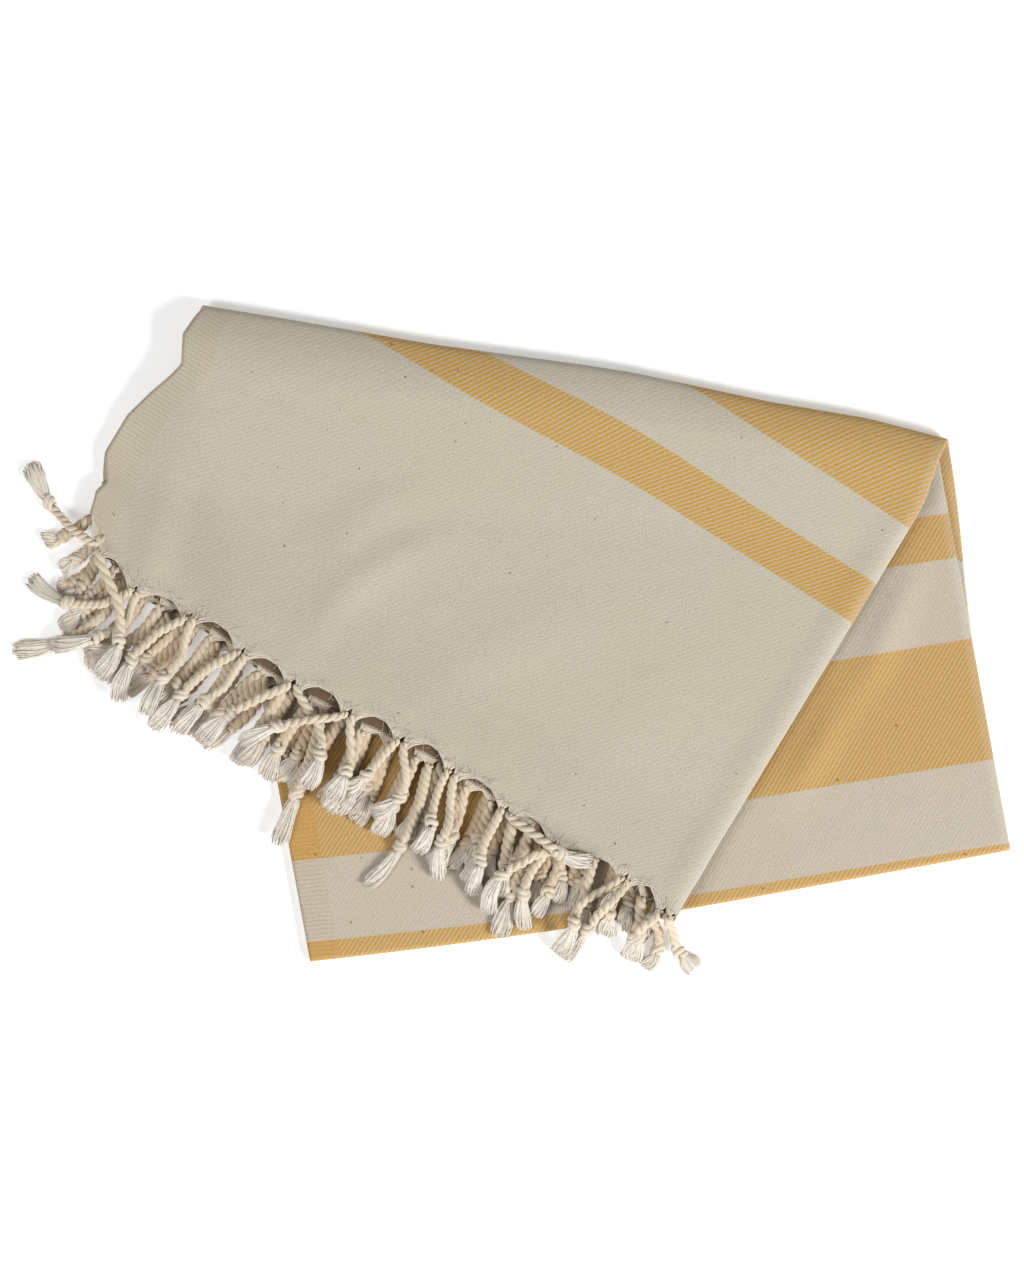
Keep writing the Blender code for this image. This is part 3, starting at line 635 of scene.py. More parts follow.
def soft_point(u, v):
    """Points of the cloth, with the fold's puffed edge, the bowed crest and the scalloped hem."""
    points = cloth_point(u, v)
    a, flat, offset = place_in_pack(u, v)
    p, crown = roll_start(flat)
    s = roll_length_at(p, offset, crown)
    on_flap = ease((s - CREASE_START) / CREASE_EASE)
    top_share = (1.5 * LAYER_STEP - offset) / (3 * LAYER_STEP)
    puff = PUFF * np.exp(-(((a - PUFF_AT) / PUFF_WIDTH) ** 2))
    points[..., 2] += puff * on_flap * top_share
    points[..., 2] += crease_height(points[..., :2], PACK_CREASES) * (s < 0) * (1 - top_share)
    bow = np.interp((flat - CREST_LEFT) @ ALONG / CREST_SPAN, *np.array(CREST_BOW).T) * MM
    points[..., :2] += (bow * np.exp(-((s / CREST_BOW_RUN) ** 2)))[..., None] * OUT
    to_edge = HALF_LENGTH - np.abs(v)
    between = between_feet(u) * ease(1 - to_edge / SCALLOP_RUN) * (offset < -LAYER_STEP) * (u > 0)
    points[..., :2] -= (SCALLOP * between)[..., None] * FLAP_DOWN
    points[..., 2] += SCALLOP_LIFT * between * top_share
    return points


def in_scene(name, data):
    made = bpy.data.objects.new(name, data)
    bpy.context.scene.collection.objects.link(made)
    return made


def mesh_object(name, verts, faces, uvs, material):
    """A smooth mesh object, from corner coordinates and one pair of texture values a vertex."""
    mesh = bpy.data.meshes.new(name)
    mesh.from_pydata((verts - np.append(BOX_MIDDLE, 0)).tolist(), [], faces)
    layer = mesh.uv_layers.new(name="UVMap")
    index = np.zeros(len(mesh.loops), np.int32)
    mesh.loops.foreach_get("vertex_index", index)
    layer.data.foreach_set("uv", uvs[index].astype(np.float32).ravel())
    mesh.shade_smooth()
    mesh.materials.append(material)
    return in_scene(name, mesh)


def grid_faces(rows, columns):
    """Quads between the vertices of a grid, row by row."""
    corner = (np.arange(rows - 1)[:, None] * columns + np.arange(columns - 1)).ravel()
    return np.stack([corner, corner + 1, corner + columns + 1, corner + columns], axis=-1)


def make_cloth():
    """The whole cloth as one thin sheet."""
    columns = fine_columns()
    rows = np.array([fine_rows(u) for u in columns])
    u = np.broadcast_to(columns[:, None], rows.shape)
    points = soft_point(u, rows)
    uvs = np.stack([u.ravel(), woven(u, rows).ravel()], axis=-1)
    faces = grid_faces(*rows.shape).tolist()
    cloth = mesh_object("towel_cloth", points.reshape(-1, 3), faces, uvs, cloth_material())
    shell = cloth.modifiers.new("thickness", "SOLIDIFY")
    shell.thickness = CLOTH_THICK
    shell.offset = 0
    return cloth


class HeightMap:
    """How high the towel reaches so far, in cells seen from above."""

    CELL = 1 * MM
    LOW = np.array([-400, -380]) * MM
    SHAPE = (800, 720)
    MARGIN = 4 * MM

    def __init__(self):
        cells = np.stack(np.meshgrid(*(np.arange(n) for n in self.SHAPE), indexing="ij"), axis=-1)
        away = self.LOW + (cells + 0.5) * self.CELL - PACK_CORNER
        across, up = away @ ACROSS, away @ UP
        beside = (across <= -self.MARGIN) | (across >= HALF_WIDTH + self.MARGIN)
        in_pack = ~beside & (up > -self.MARGIN)
        self.top = np.where(in_pack, 3 * LAYER_STEP + CLOTH_THICK, -TASSEL_AIR)
        self.ceiling = np.full(self.SHAPE, NO_CEILING)

    def cell(self, points):
        return tuple(np.moveaxis(((points[..., :2] - self.LOW) / self.CELL).astype(int), -1, 0))

    def raise_to(self, points):
        """Takes in a surface by points on its upper side."""
        np.maximum.at(self.top, self.cell(points), points[..., 2])

    def lower_to(self, points):
        """Takes in a surface over what is laid next, by points on its lower side."""
        np.minimum.at(self.ceiling, self.cell(points), points[..., 2])


def hem_sheet(side, end):
    """Points of one layer near a fringed end, less than a cell apart."""
    u = side * np.linspace(0, HALF_WIDTH, LINE_SAMPLES)
    reaches = np.arange(-HEM_ROWS, EDGE_GAP + STRIP_WIDTH + MM, HeightMap.CELL * 0.75)
    return np.stack([cloth_point(u, end * (HALF_LENGTH + reach)) for reach in reaches])


def tassel_course(root, out, lean):
    """Centres of a tassel's sections seen from above, and the directions across them."""
    reach = column(TASSEL, "reach") * MM
    reach[2:] = reach[1] + (reach[2:] - reach[1]) * lean.size
    middle = (reach[1:] + reach[:-1]) / 2
    share = (middle - middle[1]) / (middle[-1] - middle[1])
    heading = np.radians(lean.root + (lean.tip - lean.root) * share)
    ways = np.stack([np.cos(heading), np.sin(heading)], axis=-1)
    ways[0] = out
    centres = root + np.concatenate([[[0, 0]], np.cumsum(ways * np.diff(reach)[:, None], axis=0)])
    mean = unit(np.concatenate([ways[:1], ways[1:] + ways[:-1], ways[-1:]]))
    return reach, centres, left_of(mean)


def footprint(centres, across, j, margin):
    """Points under one length of a tassel, and their share of the way along it."""
    share = np.linspace(0, 1, SAMPLES_ALONG)[:, None, None]
    sideways = np.linspace(-1, 1, SAMPLES_ACROSS)[None, :, None]
    reach = across + margin * unit(across)
    centre = centres[j] + (centres[j + 1] - centres[j]) * share
    points = centre + sideways * (reach[j] + (reach[j + 1] - reach[j]) * share)
    return points, np.broadcast_to(share[..., 0], points.shape[:-1])


def settle(low, below):
    """Raises a tassel's lower heights until its straight lengths clear what is below them."""
    for _ in range(SETTLE_PASSES):
        for j, needed in enumerate(below):
            for share, height in zip(*needed):
                lack = height - low[j] * (1 - share) - low[j + 1] * share
                if lack > 0 and j == 0:
                    low[1] += lack / share
                elif lack > 0:
                    weight = share**2 + (1 - share) ** 2
                    low[j] += lack * (1 - share) / weight
                    low[j + 1] += lack * share / weight
    for j, (shares, tops) in enumerate(below):
        lack = tops - low[j] * (1 - shares) - low[j + 1] * shares
        if j == 0:
            low[1] += max((lack / shares).max(), 0)
        else:
            low[j:j + 2] = [height + max(lack.max(), 0) for height in low[j:j + 2]]


def lay_tassel(heights, root, out, lean, layer, root_bottom):
    """Lays one tassel on what is below it."""
    reach, centres, across = tassel_course(root, out, lean)
    across = across * column(TASSEL, "half_width")[:, None] * MM
    lengths = range(len(TASSEL) - 1)
    below = []
    above = []
    for j in lengths:
        points, share = footprint(centres, across, j, SIDE_AIR)
        clear = share[:, 0] >= (ROOT_CLEAR if j == 0 else 0)
        shares = share[:, 0][clear]
        below.append((shares, heights.top[heights.cell(points)][clear].max(axis=1) + TASSEL_AIR))
        above.append(heights.ceiling[heights.cell(points)][clear].min() - TASSEL_AIR)
    low = [root_bottom]
    for j in range(1, len(TASSEL)):
        fall = low[-1] - STEEPEST_FALL * (reach[j] - reach[j - 1])
        low.append(max(fall, below[j - 1][1][-1]))
    settle(low, below)
    high = [root_bottom + CLOTH_THICK]
    for j in range(1, len(TASSEL)):
        high.append(min(low[j] + TASSEL[j].height * layer.pressed * MM, *above[j - 1:j + 1]))
    for j in lengths:
        points, share = footprint(centres, across, j, SIDE_BERTH)
        top = high[j] + (high[j + 1] - high[j]) * share
        heights.raise_to(np.concatenate([points, top[..., None]], axis=-1))
    return Laid(reach, centres, np.array(low), np.array(high), END_LAYERS.index(layer))


def root_edges(side):
    """Both edges, at u, of each tassel's root, from the fold to the side."""
    middle = (np.arange(TASSELS_PER_LAYER) + (0.25 if side > 0 else 0.75)) * PITCH
    return side * np.stack([middle - ROOT_WIDTH / 2, middle + ROOT_WIDTH / 2], axis=-1)


def lower_leans(layer, rng):
    """Headings and sizes of one layer's tassels that lie below others."""
    shares = (np.arange(TASSELS_PER_LAYER) + 0.5) / TASSELS_PER_LAYER
    at = column(LOWER_TASSELS, "share")
    means = (column(LOWER_TASSELS, name) for name in ("root", "tip", "size"))
    root, tip, size = (np.interp(shares, at, mean) for mean in means)
    wander = rng.uniform(-LOWER_SPREAD, LOWER_SPREAD, (2, TASSELS_PER_LAYER))
    leans = [Lean(*row) for row in zip(root + wander[0], tip + wander[1], size)]
    if layer == STRAY_LAYER:
        leans = [STRAY_LEANS.get(i, lean) for i, lean in enumerate(leans)]
    return leans


def lay_row(heights, layer, leans):
    """Lays the tassels of one layer, those that lean furthest last."""
    middle = root_edges(layer.side).mean(axis=1)
    reach = HALF_LENGTH + EDGE_GAP
    inner, outer = (cloth_point(middle, layer.end * (reach + w)) for w in (0, STRIP_WIDTH))
    ways = unit((outer - inner)[:, :2])
    straight = np.degrees(np.arctan2(ways[:, 1], ways[:, 0])) % 360
    laid = {}
    for i in sorted(range(len(leans)), key=lambda i: abs(leans[i].root - straight[i])):
        bottom = outer[i, 2] - CLOTH_THICK / 2
        laid[i] = lay_tassel(heights, outer[i, :2], ways[i], leans[i], layer, bottom)
    return [laid[i] for i in range(len(leans))]


def lay_fringe():
    """Lays the tassels of all four layers on one another."""
    rng = np.random.default_rng(SEED)
    heights = HeightMap()
    lift = np.array([0, 0, CLOTH_THICK / 2])
    rows = {}
    for n, layer in enumerate(END_LAYERS):
        heights.raise_to(hem_sheet(layer.side, layer.end) + lift)
        heights.ceiling[:] = NO_CEILING
        for upper in END_LAYERS[n + 1:]:
            heights.lower_to(hem_sheet(upper.side, upper.end) - lift)
        leans = TOP_TASSELS if n == TOP_LAYER else lower_leans(n, rng)
        rows[layer.side, layer.end] = lay_row(heights, layer, leans)
    return rows


class Route:
    """The smooth way of one laid tassel."""

    def __init__(self, laid, foot, rng):
        self.end = laid.reach[-1]
        self.s = np.linspace(0, self.end, ROUTE_SAMPLES)
        is_top = laid.layer == TOP_LAYER
        thick = TOP_THICKNESS if is_top else THINNEST
        half = np.maximum((laid.high - laid.low) / 2, thick)
        middle = np.maximum(laid.low + half, (laid.low + laid.high) / 2)
        knots = np.column_stack([laid.centres, middle, half])
        raw = np.stack([np.interp(self.s, laid.reach, knot) for knot in knots.T], axis=-1)
        self.rows = smoothed(raw, round(ROUTE_EASE * ROUTE_SAMPLES / self.end))
        self.left = left_of(unit(np.gradient(self.rows[:, :2], axis=0)))
        turns = rng.uniform(*SWAY_TURNS)
        sway = SWAY * rng.uniform(-1, 1) * np.sin(self.s / self.end * math.tau * turns)
        self.rows[:, :2] += sway[:, None] * self.left
        turn = (laid.layer < STRAY_LAYER) * rng.uniform(-TURN_SPREAD, TURN_SPREAD)
        self.rows[:, :2] += (turn * self.s)[:, None] * self.left
        self.rows[:, :2] += foot * (1 - is_top * ease(self.s / PAIR_RUN))[:, None]
        self.knot = laid.reach[KNOT_SECTION]

    def place(self, s, x, y):
        """Points at a distance s along, x to the left and y up in a cord of full roundness."""
        along = [np.interp(s, self.s, values) for values in (*self.rows.T, *self.left.T)]
        flat = along[3] / CORD_RADIUS
        z = along[2] + y * np.minimum(flat, 1)
        return np.stack([along[0] + along[4] * x, along[1] + along[5] * x, z], axis=-1)


def smoothed(values, reach):
    """Values along a line with their corners eased, and with their ends kept."""
    weights = np.hanning(2 * reach + 3)[1:-1]
    padded = np.concatenate([
        2 * values[:1] - values[reach:0:-1],
        values,
        2 * values[-1:] - values[-2:-reach - 2:-1],
    ])
    return np.stack([np.convolve(row, weights / weights.sum(), "valid") for row in padded.T], axis=-1)


class Tubes:
    """Many tubes as one mesh, with texture values round them in turns and along them in mm."""

    def __init__(self):
        self.verts, self.faces, self.uvs, self.tones = [], [], [], []
        self.count = 0

    def add(self, path, radius, sides, tone, across=(0, 0, 1), axis=None):
        """One closed tube along a path, with a radius at each point, that may wind round an axis."""
        n = len(path)
        tangent = unit(np.gradient(path, axis=0))
        side = unit(np.cross(tangent, np.broadcast_to(across, path.shape)))
        other = np.cross(side, tangent)
        turn = np.arange(sides) * math.tau / sides
        turn = turn[:, None]
        round_it = np.cos(turn) * side[:, None] + np.sin(turn) * other[:, None]
        verts = path[:, None] + round_it * np.broadcast_to(radius, n)[:, None, None]
        # How near each vertex lies to the axis, where the yarn material paints shade.
        inside = np.zeros((n, sides))
        if axis is not None:
            away = np.linalg.norm(verts - axis[:, None], axis=-1)
            inside = 1 - away / away.max(axis=1, keepdims=True)
        self.loft(verts, tone, inside, 1)

    def loft(self, verts, tone, inside, fibre_turns):
        n, sides, _ = verts.shape
        verts = np.concatenate([verts[..., :2], np.maximum(verts[..., 2:], 0)], axis=-1)
        path = verts.mean(axis=1)
        length = np.concatenate([[0], np.cumsum(np.linalg.norm(np.diff(path, axis=0), axis=1))]) / MM
        turns = np.arange(sides)[None] / sides * fibre_turns
        uvs = np.stack(np.broadcast_arrays(turns, length[:, None]), axis=-1)
        ring = np.arange(sides)
        after = (ring + 1) % sides
        base = self.count + np.arange(n - 1)[:, None] * sides
        corners = [base + ring, base + after, base + sides + after, base + sides + ring]
        quads = np.stack(corners, axis=-1)
        self.faces.extend(quads.reshape(-1, 4).tolist())
        self.faces.append((self.count + ring[::-1]).tolist())
        self.faces.append((self.count + (n - 1) * sides + ring).tolist())
        self.verts.append(verts.reshape(-1, 3))
        self.uvs.append(uvs.reshape(-1, 2))
        self.tones.append(np.column_stack([np.full((n * sides, 2), tone), inside.ravel()]))
        self.count += n * sides

    def build(self, name, material):
        made = mesh_object(name, np.concatenate(self.verts), self.faces, np.concatenate(self.uvs), material)
        tones = np.concatenate(self.tones).astype(np.float32)
        for kind, values in zip(("whiteness", "depth", "inside"), tones.T):
            made.data.attributes.new(kind, "FLOAT", "POINT").data.foreach_set("value", values.copy())
        return made


def add_cord(tubes, route, rng, depth):
    """The two plies of the cord, from the root to the knot."""
    end = route.knot - KNOT_LENGTH * CORD_STOPS
    s = np.linspace(CORD_START, end, max(round((end - CORD_START) / CORD_STEP), 6))
    start = rng.uniform(0, math.tau)
    lay = LAY_LENGTH * rng.uniform(*LAY_SHARES)
    thick = rng.uniform(*CORD_SHARES) * (1 + PRESSED_WIDER * depth)
    axis = route.place(s, 0, 0)
    for ply in (0, math.pi):
        angle = start + ply - (s - CORD_START) / lay * math.tau
        away = (CORD_RADIUS - PLY_RADIUS) * thick
        path = route.place(s, away * np.cos(angle), away * np.sin(angle))
        full = ROOT_SHARE + (1 - ROOT_SHARE) * ease((s - CORD_START) / CORD_FULL)
        radius = PLY_RADIUS * thick * full
        tubes.add(path, radius, PLY_SIDES, (0, depth), axis=axis)


def add_knot(tubes, route, rng, depth):
    """Two thick plies wound round each other's ends."""
    t = np.linspace(0, 1, KNOT_RINGS)
    start = rng.uniform(0, math.tau)
    lean = rng.uniform(0, math.tau)
    along = route.place(route.knot + np.array([-1, 1]) * MM, 0, 0)
    for ply in (0, math.pi):
        angle = start + ply + t * KNOT_TURNS * math.tau
        away = KNOT_RADIUS * np.sin(math.pi * np.linspace(*KNOT_SPAN, KNOT_RINGS)) ** 0.6
        s = route.knot + (t - 0.5) * (KNOT_LENGTH - 2 * KNOT_PLY) + KNOT_TILT * np.cos(angle - lean)
        path = route.place(s, away * np.cos(angle), away * np.sin(angle))
        radius = KNOT_PLY * (0.8 + 0.2 * np.sin(math.pi * t))
        tubes.add(path, radius, PLY_SIDES, (KNOT_PALE, depth), along[1] - along[0], route.place(s, 0, 0))


def brush_core(route, brush):
    """Rings of the dense middle of a brush."""
    turn = np.arange(BODY_SIDES)[:, None] * math.tau / BODY_SIDES
    closed = (1 - brush.t**6) * BODY_SHARE
    x = np.cos(turn) * brush.spread * closed + brush.drift
    y = np.sin(turn) * BODY_HALF * closed * (1 - BRUSH_THINS * brush.t)
    reach = brush.start + brush.t * brush.length * BODY_REACH
    return np.stack([route.place(reach, *way) for way in zip(x, y)], axis=1)


def add_brush(tubes, route, rng, depth):
    """Loose yarns that spread from the knot."""
    start = route.knot + KNOT_LENGTH * BRUSH_STARTS
    length = route.end - start
    t = np.linspace(0, 1, BRUSH_RINGS)
    half = BRUSH_HALF * rng.uniform(1 - BRUSH_UNEVEN, 1 + BRUSH_UNEVEN / 3)
    drift = rng.uniform(-BRUSH_DRIFT, BRUSH_DRIFT) * t**2
    wave = rng.uniform(*CURL_TURNS)
    spread = NECK_RADIUS + (half - NECK_RADIUS) * np.minimum(1, t * BRUSH_OPENS) ** 0.75
    core = brush_core(route, Brush(t, start, length, spread, drift))
    tubes.loft(core, (1, depth), np.full(core.shape[:2], BODY_SHADE), BODY_FIBRES)
    for k in range(BRUSH_YARNS):
        angle = k * GOLDEN_ANGLE + rng.uniform(-YARN_STRAYS, YARN_STRAYS)
        share = math.sqrt((k + 0.5) / BRUSH_YARNS)
        side = share * math.cos(angle)
        curl = rng.uniform(*CURLS) * MM * np.sin(t * math.tau * wave + 0.4 * angle)
        x = side * spread * (1 - 0.12 * t**2) + curl + drift
        y = share * math.sin(angle) * YARN_RISE * (1 - BRUSH_THINS * t)
        reach = start + t * (length * rng.uniform(*YARN_SHARES) * (1 - 0.1 * side**2))
        path = route.place(reach, x, y)
        path[:, 2] = np.maximum(path[:, 2], YARN_LOWEST)
        tubes.add(path, YARN_TAPER, YARN_SIDES, (1, depth), axis=route.place(reach, drift, -NECK_RADIUS))


def add_hugging_yarns(tubes, route, rng, depth, foot, away, end):
    """The yarns that run along the scalloped edge to the foot and join the cord."""
    t = np.linspace(0, 1, HUG_RINGS)
    for k, start in enumerate(HUG_STARTS):
        towards = np.array([0, -start * HUG_SHARE])
        u = np.clip(foot + away * (start + towards), -HALF_SPAN, HALF_SPAN)
        v = np.array([HALF_LENGTH - HUG_INSIDE, HALF_LENGTH + HUG_OUTSIDE]) * end
        edge = soft_point(u, v)
        x = (k / len(HUG_STARTS) - 0.5) * PLY_RADIUS
        inside_cord = route.place(HUG_REACH, x, rng.uniform(-1, 1) * MM)
        path = bezier(np.concatenate([edge, inside_cord]), t)
        tubes.add(path, HUG_RADIUS * (1 + HUG_SWELL * t), YARN_SIDES, (HUG_PALE, depth))


def add_fuzz(tubes, layer, rng):
    """Fine loose hairs along a layer's fringed edge."""
    for u in layer.side * rng.uniform(2 * MM, HALF_SPAN, FUZZ_HAIRS):
        v = layer.end * (HALF_LENGTH - rng.uniform(-1, 3) * MM)
        start = soft_point(np.array([u]), np.array([v]))[0]
        share = np.linspace(0, 1, FUZZ_STEPS)
        heading = rng.uniform(0, math.tau) + rng.uniform(-FUZZ_CURL, FUZZ_CURL) * share
        ways = np.stack([np.cos(heading), np.sin(heading), np.full(FUZZ_STEPS, FUZZ_RISE)], axis=-1)
        path = start + (0, 0, CLOTH_THICK) + np.cumsum(ways, axis=0) * rng.uniform(*FUZZ_STRIDES) * MM
        tubes.add(path, FUZZ_RADIUS, FUZZ_SIDES, (1, 0))


def bezier(keys, t):
    """Points of the cubic curve with these four controls."""
    t = t[:, None]
    a, b, c, d = keys
    return a * (1 - t) ** 3 + 3 * b * t * (1 - t) ** 2 + 3 * c * t**2 * (1 - t) + d * t**3


def make_tassels(rows):
    """The tassels of each layer of each end, as one piece a layer."""
    rng = np.random.default_rng(SEED + 1)
    yarn = yarn_material()
    made = {}
    for n, layer in enumerate(END_LAYERS):
        tubes = Tubes()
        # How low the layer lies: lower tassels are pressed wider and painted browner as shade.
        depth = 1 - n / TOP_LAYER
        roots = root_edges(layer.side).mean(axis=1)
        tassels = rows[layer.side, layer.end]
        for i, (u, foot, laid) in enumerate(zip(roots, feet(layer), tassels)):
            away = layer.side * (1 if i % 2 else -1)
            ends = cloth_point(np.array([u, foot]), np.full(2, layer.end * HALF_LENGTH))
            route = Route(laid, ends[1, :2] - ends[0, :2], rng)
            add_hugging_yarns(tubes, route, rng, depth, foot, away, layer.end)
            add_cord(tubes, route, rng, depth)
            add_knot(tubes, route, rng, depth)
            add_brush(tubes, route, rng, depth)
        if n == TOP_LAYER:
            add_fuzz(tubes, layer, rng)
        name = f"tassels_{'upper' if layer.end < 0 else 'lower'}_{'right' if layer.side > 0 else 'left'}"
        made[name] = tubes.build(name, yarn)
    return made


class Nodes:
    """Short ways to add and join shader nodes."""

    def __init__(self, name):
        self.material = bpy.data.materials.new(name)
        self.material.use_nodes = True
        self.tree = self.material.node_tree
        self.shader = self.tree.nodes["Principled BSDF"]

    def add(self, kind, *links, **settings):
        node = self.tree.nodes.new("ShaderNode" + kind)
        for key, value in settings.items():
            setattr(node, key, value)
        for socket, value in links:
            self.put(node.inputs[socket], value)
        return node

    def put(self, socket, value):
        if isinstance(value, bpy.types.NodeSocket):
            self.tree.links.new(value, socket)
        else:
            socket.default_value = value

    def math(self, operation, a, b=0.0, c=0.0):
        return self.add("Math", (0, a), (1, b), (2, c), operation=operation).outputs[0]

    def times(self, a, b):
        return self.math("MULTIPLY", a, b)

    def scaled(self, value, scale, start):
        return self.math("MULTIPLY_ADD", value, scale, start)

    def blend(self, factor, a, b, kind="MIX"):
        node = self.add("Mix", data_type="RGBA", blend_type=kind)
        for socket, value in ((0, factor), (6, a), (7, b)):
            if isinstance(value, tuple):
                value = (*value, 1)
            self.put(node.inputs[socket], value)
        return node.outputs[2]

    def tinted(self, colour, tint):
        return self.blend(1.0, colour, tint, "MULTIPLY")

    def varied(self, factor, tone, shares):
        return self.blend(factor, *(tuple(c * share for c in tone) for share in shares))

    def on_surface(self):
        place = self.add("UVMap", uv_map="UVMap").outputs[0]
        split = self.add("SeparateXYZ", ("Vector", place))
        return place, split.outputs[0], split.outputs[1]

    def in_space(self):
        return self.add("TexCoord").outputs["Object"]

    def noise(self, place, scale, detail=2.0, rough=0.5):
        rates = (("Scale", scale), ("Detail", detail), ("Roughness", rough))
        return self.add("TexNoise", ("Vector", place), *rates).outputs["Fac"]

    def wave(self, phase):
        """A sine of the phase in turns, from 0 to 1."""
        return self.scaled(self.math("SINE", self.times(phase, math.tau)), 0.5, 0.5)

    def step(self, value, low, high):
        """A soft step from 0 to 1 between two values."""
        ends = (("Value", value), ("From Min", low), ("From Max", high))
        return self.add("MapRange", *ends, interpolation_type="SMOOTHSTEP").outputs["Result"]

    def bump(self, height, distance, strength, *after):
        links = [("Height", height), ("Distance", distance), ("Strength", strength)]
        links.extend(("Normal", normal) for normal in after)
        return self.add("Bump", *links).outputs["Normal"]

    def finish(self, colour, roughness, normal, **settings):
        settings.update(Base_Color=colour, Roughness=roughness, Normal=normal)
        for name, value in settings.items():
            self.put(self.shader.inputs[name.replace("_", " ")], value)
        return self.material


def striped(m, v):
    """1 in the coloured weft stripes and 0 between them."""
    total = 0.0
    for stripe in STRIPES:
        start, end = (m.step(v, (at - STRIPE_EDGE) * MM, (at + STRIPE_EDGE) * MM) for at in stripe)
        total = m.math("ADD", total, m.math("SUBTRACT", start, end))
    return total


def weave_lines(m, u, v, place):
    """Height of the weave from 0 to 1, and the shade between the ribs of the plain selvedges."""
    wobble = m.times(m.math("SUBTRACT", m.noise(place, WOBBLE_GRAIN, 3.0), 0.5), WOBBLE)
    turns_u = math.sin(WALE_SLOPE) / WALE_PITCH
    turns_v = math.cos(WALE_SLOPE) / WALE_PITCH
    wales = m.wave(m.scaled(u, turns_u, m.scaled(v, turns_v, wobble)))
    rib = m.wave(m.scaled(v, 1 / RIB_PITCH, wobble))
    cross = m.wave(m.times(u, 1 / WARP_PITCH))
    plain = m.scaled(m.scaled(cross, 0.35, m.times(rib, 0.65)), PLAIN_RELIEF, PLAIN_LEVEL)
    side = HALF_WIDTH - SELVEDGE
    in_selvedge = m.step(m.math("ABSOLUTE", u), side, side + MM)
    in_twill = m.math("SUBTRACT", 1.0, in_selvedge)
    weave = m.math("ADD", m.times(wales, in_twill), m.times(plain, in_selvedge))
    return weave, m.times(m.step(rib, 0.45, 0.1), in_selvedge)


def flecked(m, colour, place, fleck):
    """The colour with seed flecks in a share of the cells of a scale."""
    cells = m.add("TexVoronoi", ("Vector", place), ("Scale", fleck.scale), voronoi_dimensions="2D")
    picks = m.add("SeparateXYZ", ("Vector", cells.outputs["Color"]))
    chosen = m.math("GREATER_THAN", picks.outputs[0], 1 - fleck.share)
    reach = m.scaled(picks.outputs[1], fleck.size, fleck.size * 0.5)
    spot = m.math("LESS_THAN", cells.outputs["Distance"], reach)
    fade = m.scaled(picks.outputs[2], fleck.strength * 0.7, fleck.strength * 0.3)
    return m.blend(m.times(m.times(chosen, spot), fade), colour, SPECK)


def dyed(m, v, place, thread, weave):
    """The cream ground and the mustard stripes, and where these are."""
    in_stripe = striped(m, v)
    patch = m.step(m.noise(place, PATCH_GRAIN), 0.35, 0.65)
    cream = m.varied(thread, CREAM, CREAM_THREADS)
    cream = m.blend(patch, cream, m.tinted(cream, PATCH_TINT))
    mustard = m.varied(thread, MUSTARD, MUSTARD_THREADS)
    weft = m.times(in_stripe, m.scaled(m.step(weave, 0.95, 0.35), 0.58, 0.36))
    return m.blend(weft, cream, mustard), in_stripe


def painted_light_and_pack_tint(m, colour, u, v, in_stripe):
    """The colour paler along the lengthwise fold as a painted highlight, duller on the pack, and brown at
    hidden ends as painted shade.
    """
    # A painted highlight: paler along the lengthwise fold, and towards mustard in the stripes.
    fold_highlight = m.times(m.step(m.math("ABSOLUTE", u), FOLD_HIGHLIGHT_END, FOLD_HIGHLIGHT_FULL), FOLD_HIGHLIGHT_SHARE)
    colour = m.blend(fold_highlight, colour, m.blend(m.times(in_stripe, 0.5), FOLD_HIGHLIGHT, MUSTARD))
    colour = m.blend(m.step(v, -2 * MM, 2 * MM), colour, m.tinted(colour, PACK_TINT))
    # Painted shade: brown near the ends of every layer except the uppermost one.
    uppermost = m.times(m.step(u, 0, MM), m.step(v, 0, -MM))
    covered = m.math("SUBTRACT", 1.0, uppermost)
    near_end = m.step(m.math("ABSOLUTE", v), HEM_SHADE_START, HEM_SHADE_FULL)
    return m.blend(m.times(m.times(covered, near_end), HEM_SHADE_SHARE), colour, HEM_SHADE_TONE)


def cloth_material():
    """Striped cotton twill with plain selvedges, seed flecks and a slightly uneven hand."""
    m = Nodes("cotton_twill")
    place, u, v = m.on_surface()
    weave, rib_shade = weave_lines(m, u, v, place)
    thread = m.step(m.noise(place, THREAD_GRAIN, 3.0, 0.8), 0.25, 0.75)
    colour, in_stripe = dyed(m, v, place, thread, weave)
    # Painted shade between the selvedge ribs, and painted shade in the grooves between the threads.
    colour = m.blend(m.times(rib_shade, RIB_SHADE), colour, SHADE_AND_PATCH_TONE)
    clear = m.step(m.noise(place, CLEAR_GRAIN), 0.3, 0.7)
    groove = m.times(m.times(m.step(weave, 0.5, 0.0), clear), GROOVE_SHADE)
    colour = painted_light_and_pack_tint(m, m.blend(groove, colour, GROOVE_TONE), u, v, in_stripe)
    for fleck in FLECKS:
        colour = flecked(m, colour, place, fleck)
    height = m.scaled(thread, 0.7, m.times(weave, 0.3))
    normal = m.bump(height, THREAD_RELIEF, 0.6)
    normal = m.bump(m.noise(place, HAND_GRAIN, 3.0, 0.6), HAND_RELIEF, 0.3, normal)
    sheen = {"Sheen_Weight": 0.15, "Sheen_Roughness": 0.5}
    return m.finish(colour, 0.92, normal, Specular_IOR_Level=0.2, **sheen)


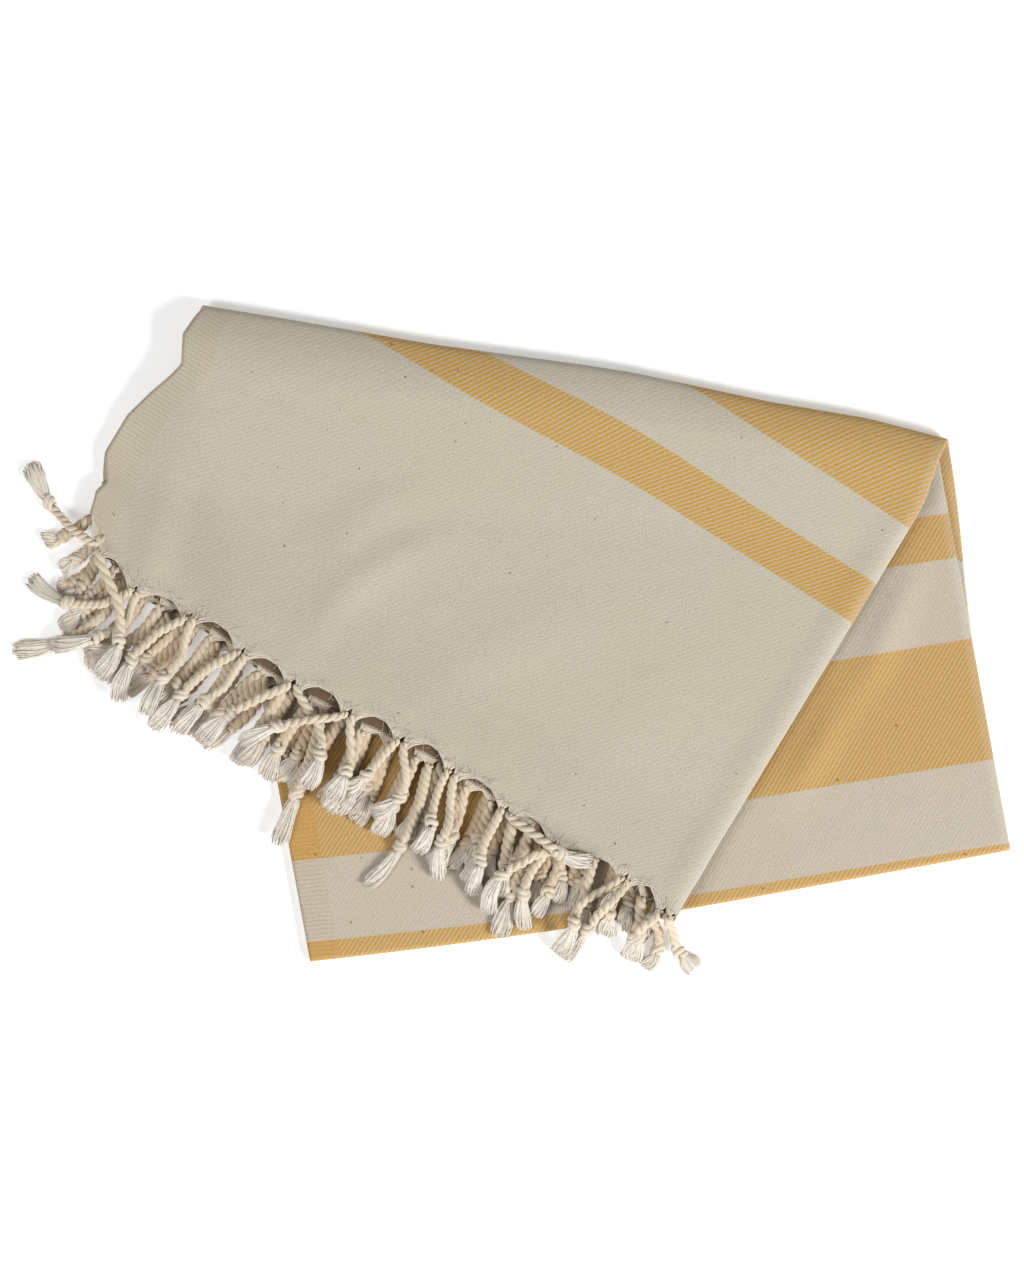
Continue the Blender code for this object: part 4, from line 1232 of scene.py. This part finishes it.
def yarn_material():
    """Cotton yarn: cream where twisted, paler where brushed out, and browner in the pile as painted shade.
    """
    m = Nodes("cotton_yarn")
    _, turn, along = m.on_surface()
    kinds = ("whiteness", "depth", "inside")
    whiteness, depth, inside = (m.add("Attribute", attribute_name=kind).outputs["Fac"] for kind in kinds)
    fibres = m.wave(m.scaled(turn, FIBRES_ROUND, m.times(along, FIBRE_TURNS)))
    space = m.in_space()
    colour = m.blend(whiteness, CORD_TONE, BRUSH_TONE)
    # Painted shade between fibres, towards the middle of cords and brushes and on lower layers; also random
    # browner patches.
    for shade in (
        m.times(m.step(fibres, 0.5, 0.0), 0.1),
        m.times(m.step(inside, 0.25, 0.7), m.scaled(whiteness, -0.4, 0.65)),
        m.times(m.step(m.noise(space, YARN_PATCHES), 0.5, 0.75), 0.12),
        m.times(depth, m.scaled(whiteness, -0.22, 0.42)),
    ):
        colour = m.blend(shade, colour, SHADE_AND_PATCH_TONE)
    height = m.math("ADD", fibres, m.noise(space, FIBRE_GRAIN))
    sheen = {"Sheen_Weight": 0.2, "Sheen_Roughness": 0.5}
    return m.finish(colour, 0.9, m.bump(height, FIBRE_RELIEF, 0.5), Specular_IOR_Level=0.25, **sheen)


def make_hemstitch():
    """Short brown threads at the feet of the uppermost tassels."""
    rng = np.random.default_rng(SEED + 2)
    tubes = Tubes()
    layer = END_LAYERS[-1]
    for foot in PAIR_PLACES * PITCH:
        us = foot + np.linspace(rng.uniform(*STITCH_BESIDE), -0.5, STITCH_POINTS) * MM
        vs = HALF_LENGTH - np.linspace(rng.uniform(*STITCH_ABOVE), -1.2, STITCH_POINTS) * MM
        path = soft_point(us, layer.end * vs)
        path[:, 2] += CLOTH_THICK / 2 + STITCH_AIR
        tubes.add(path, STITCH_RADIUS, STITCH_SIDES, (0, 0))
    m = Nodes("stitch_thread")
    fine = m.noise(m.in_space(), STITCH_GRAIN)
    colour = m.varied(fine, STITCH_TONE, STITCH_SHARES)
    return tubes.build("hemstitch", m.finish(colour, 0.8, m.bump(fine, 0.1 * MM, 0.5)))


def floor_material():
    """A matt, pale light table with the faintest grain."""
    m = Nodes("pale_floor")
    grain = m.noise(m.in_space(), FLOOR_GRAIN)
    colour = m.varied(grain, FLOOR_TONE, FLOOR_SHARES)
    glow = {"Emission_Color": (1, 1, 1, 1), "Emission_Strength": FLOOR_GLOW}
    return m.finish(colour, 0.9, m.bump(grain, 0.05 * MM, 0.3), **glow)


def make_stage():
    """The floor and the soft studio light."""
    bpy.ops.mesh.primitive_plane_add(size=FLOOR_SPAN)
    floor = bpy.context.object
    floor.name = "floor"
    floor.data.materials.append(floor_material())
    for lamp in LAMPS:
        data = bpy.data.lights.new(lamp.name, "AREA")
        data.shape = "DISK"
        data.size = lamp.size
        data.energy = lamp.power
        made = in_scene(lamp.name, data)
        made.location = lamp.place
        made.rotation_euler = (-made.location).to_track_quat("-Z", "Y").to_euler()
    world = bpy.data.worlds.new("studio")
    world.use_nodes = True
    sky = world.node_tree.nodes["Background"].inputs
    sky["Color"].default_value = (1, 1, 1, 1)
    sky["Strength"].default_value = DAYLIGHT
    bpy.context.scene.world = world
    bpy.context.scene.view_settings.view_transform = "Standard"


def make_camera():
    """Straight above, as the towel is shown, from far enough for an even scale."""
    data = bpy.data.cameras.new("camera")
    data.sensor_width = SENSOR
    data.lens = SENSOR * CAMERA_HEIGHT / VIEW_LONG
    camera = in_scene("camera", data)
    camera.location = (*(VIEW_MIDDLE - BOX_MIDDLE), CAMERA_HEIGHT)
    bpy.context.scene.camera = camera


make_camera()
cloth = make_cloth()
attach(cloth, "root")
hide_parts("cloth")

tassels = make_tassels(lay_fringe())
for name, piece in tassels.items():
    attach(piece, "root")
    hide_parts("fringe_upper" if "upper" in name else "fringe_lower")
hemstitch = make_hemstitch()
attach(hemstitch, "root")

make_stage()
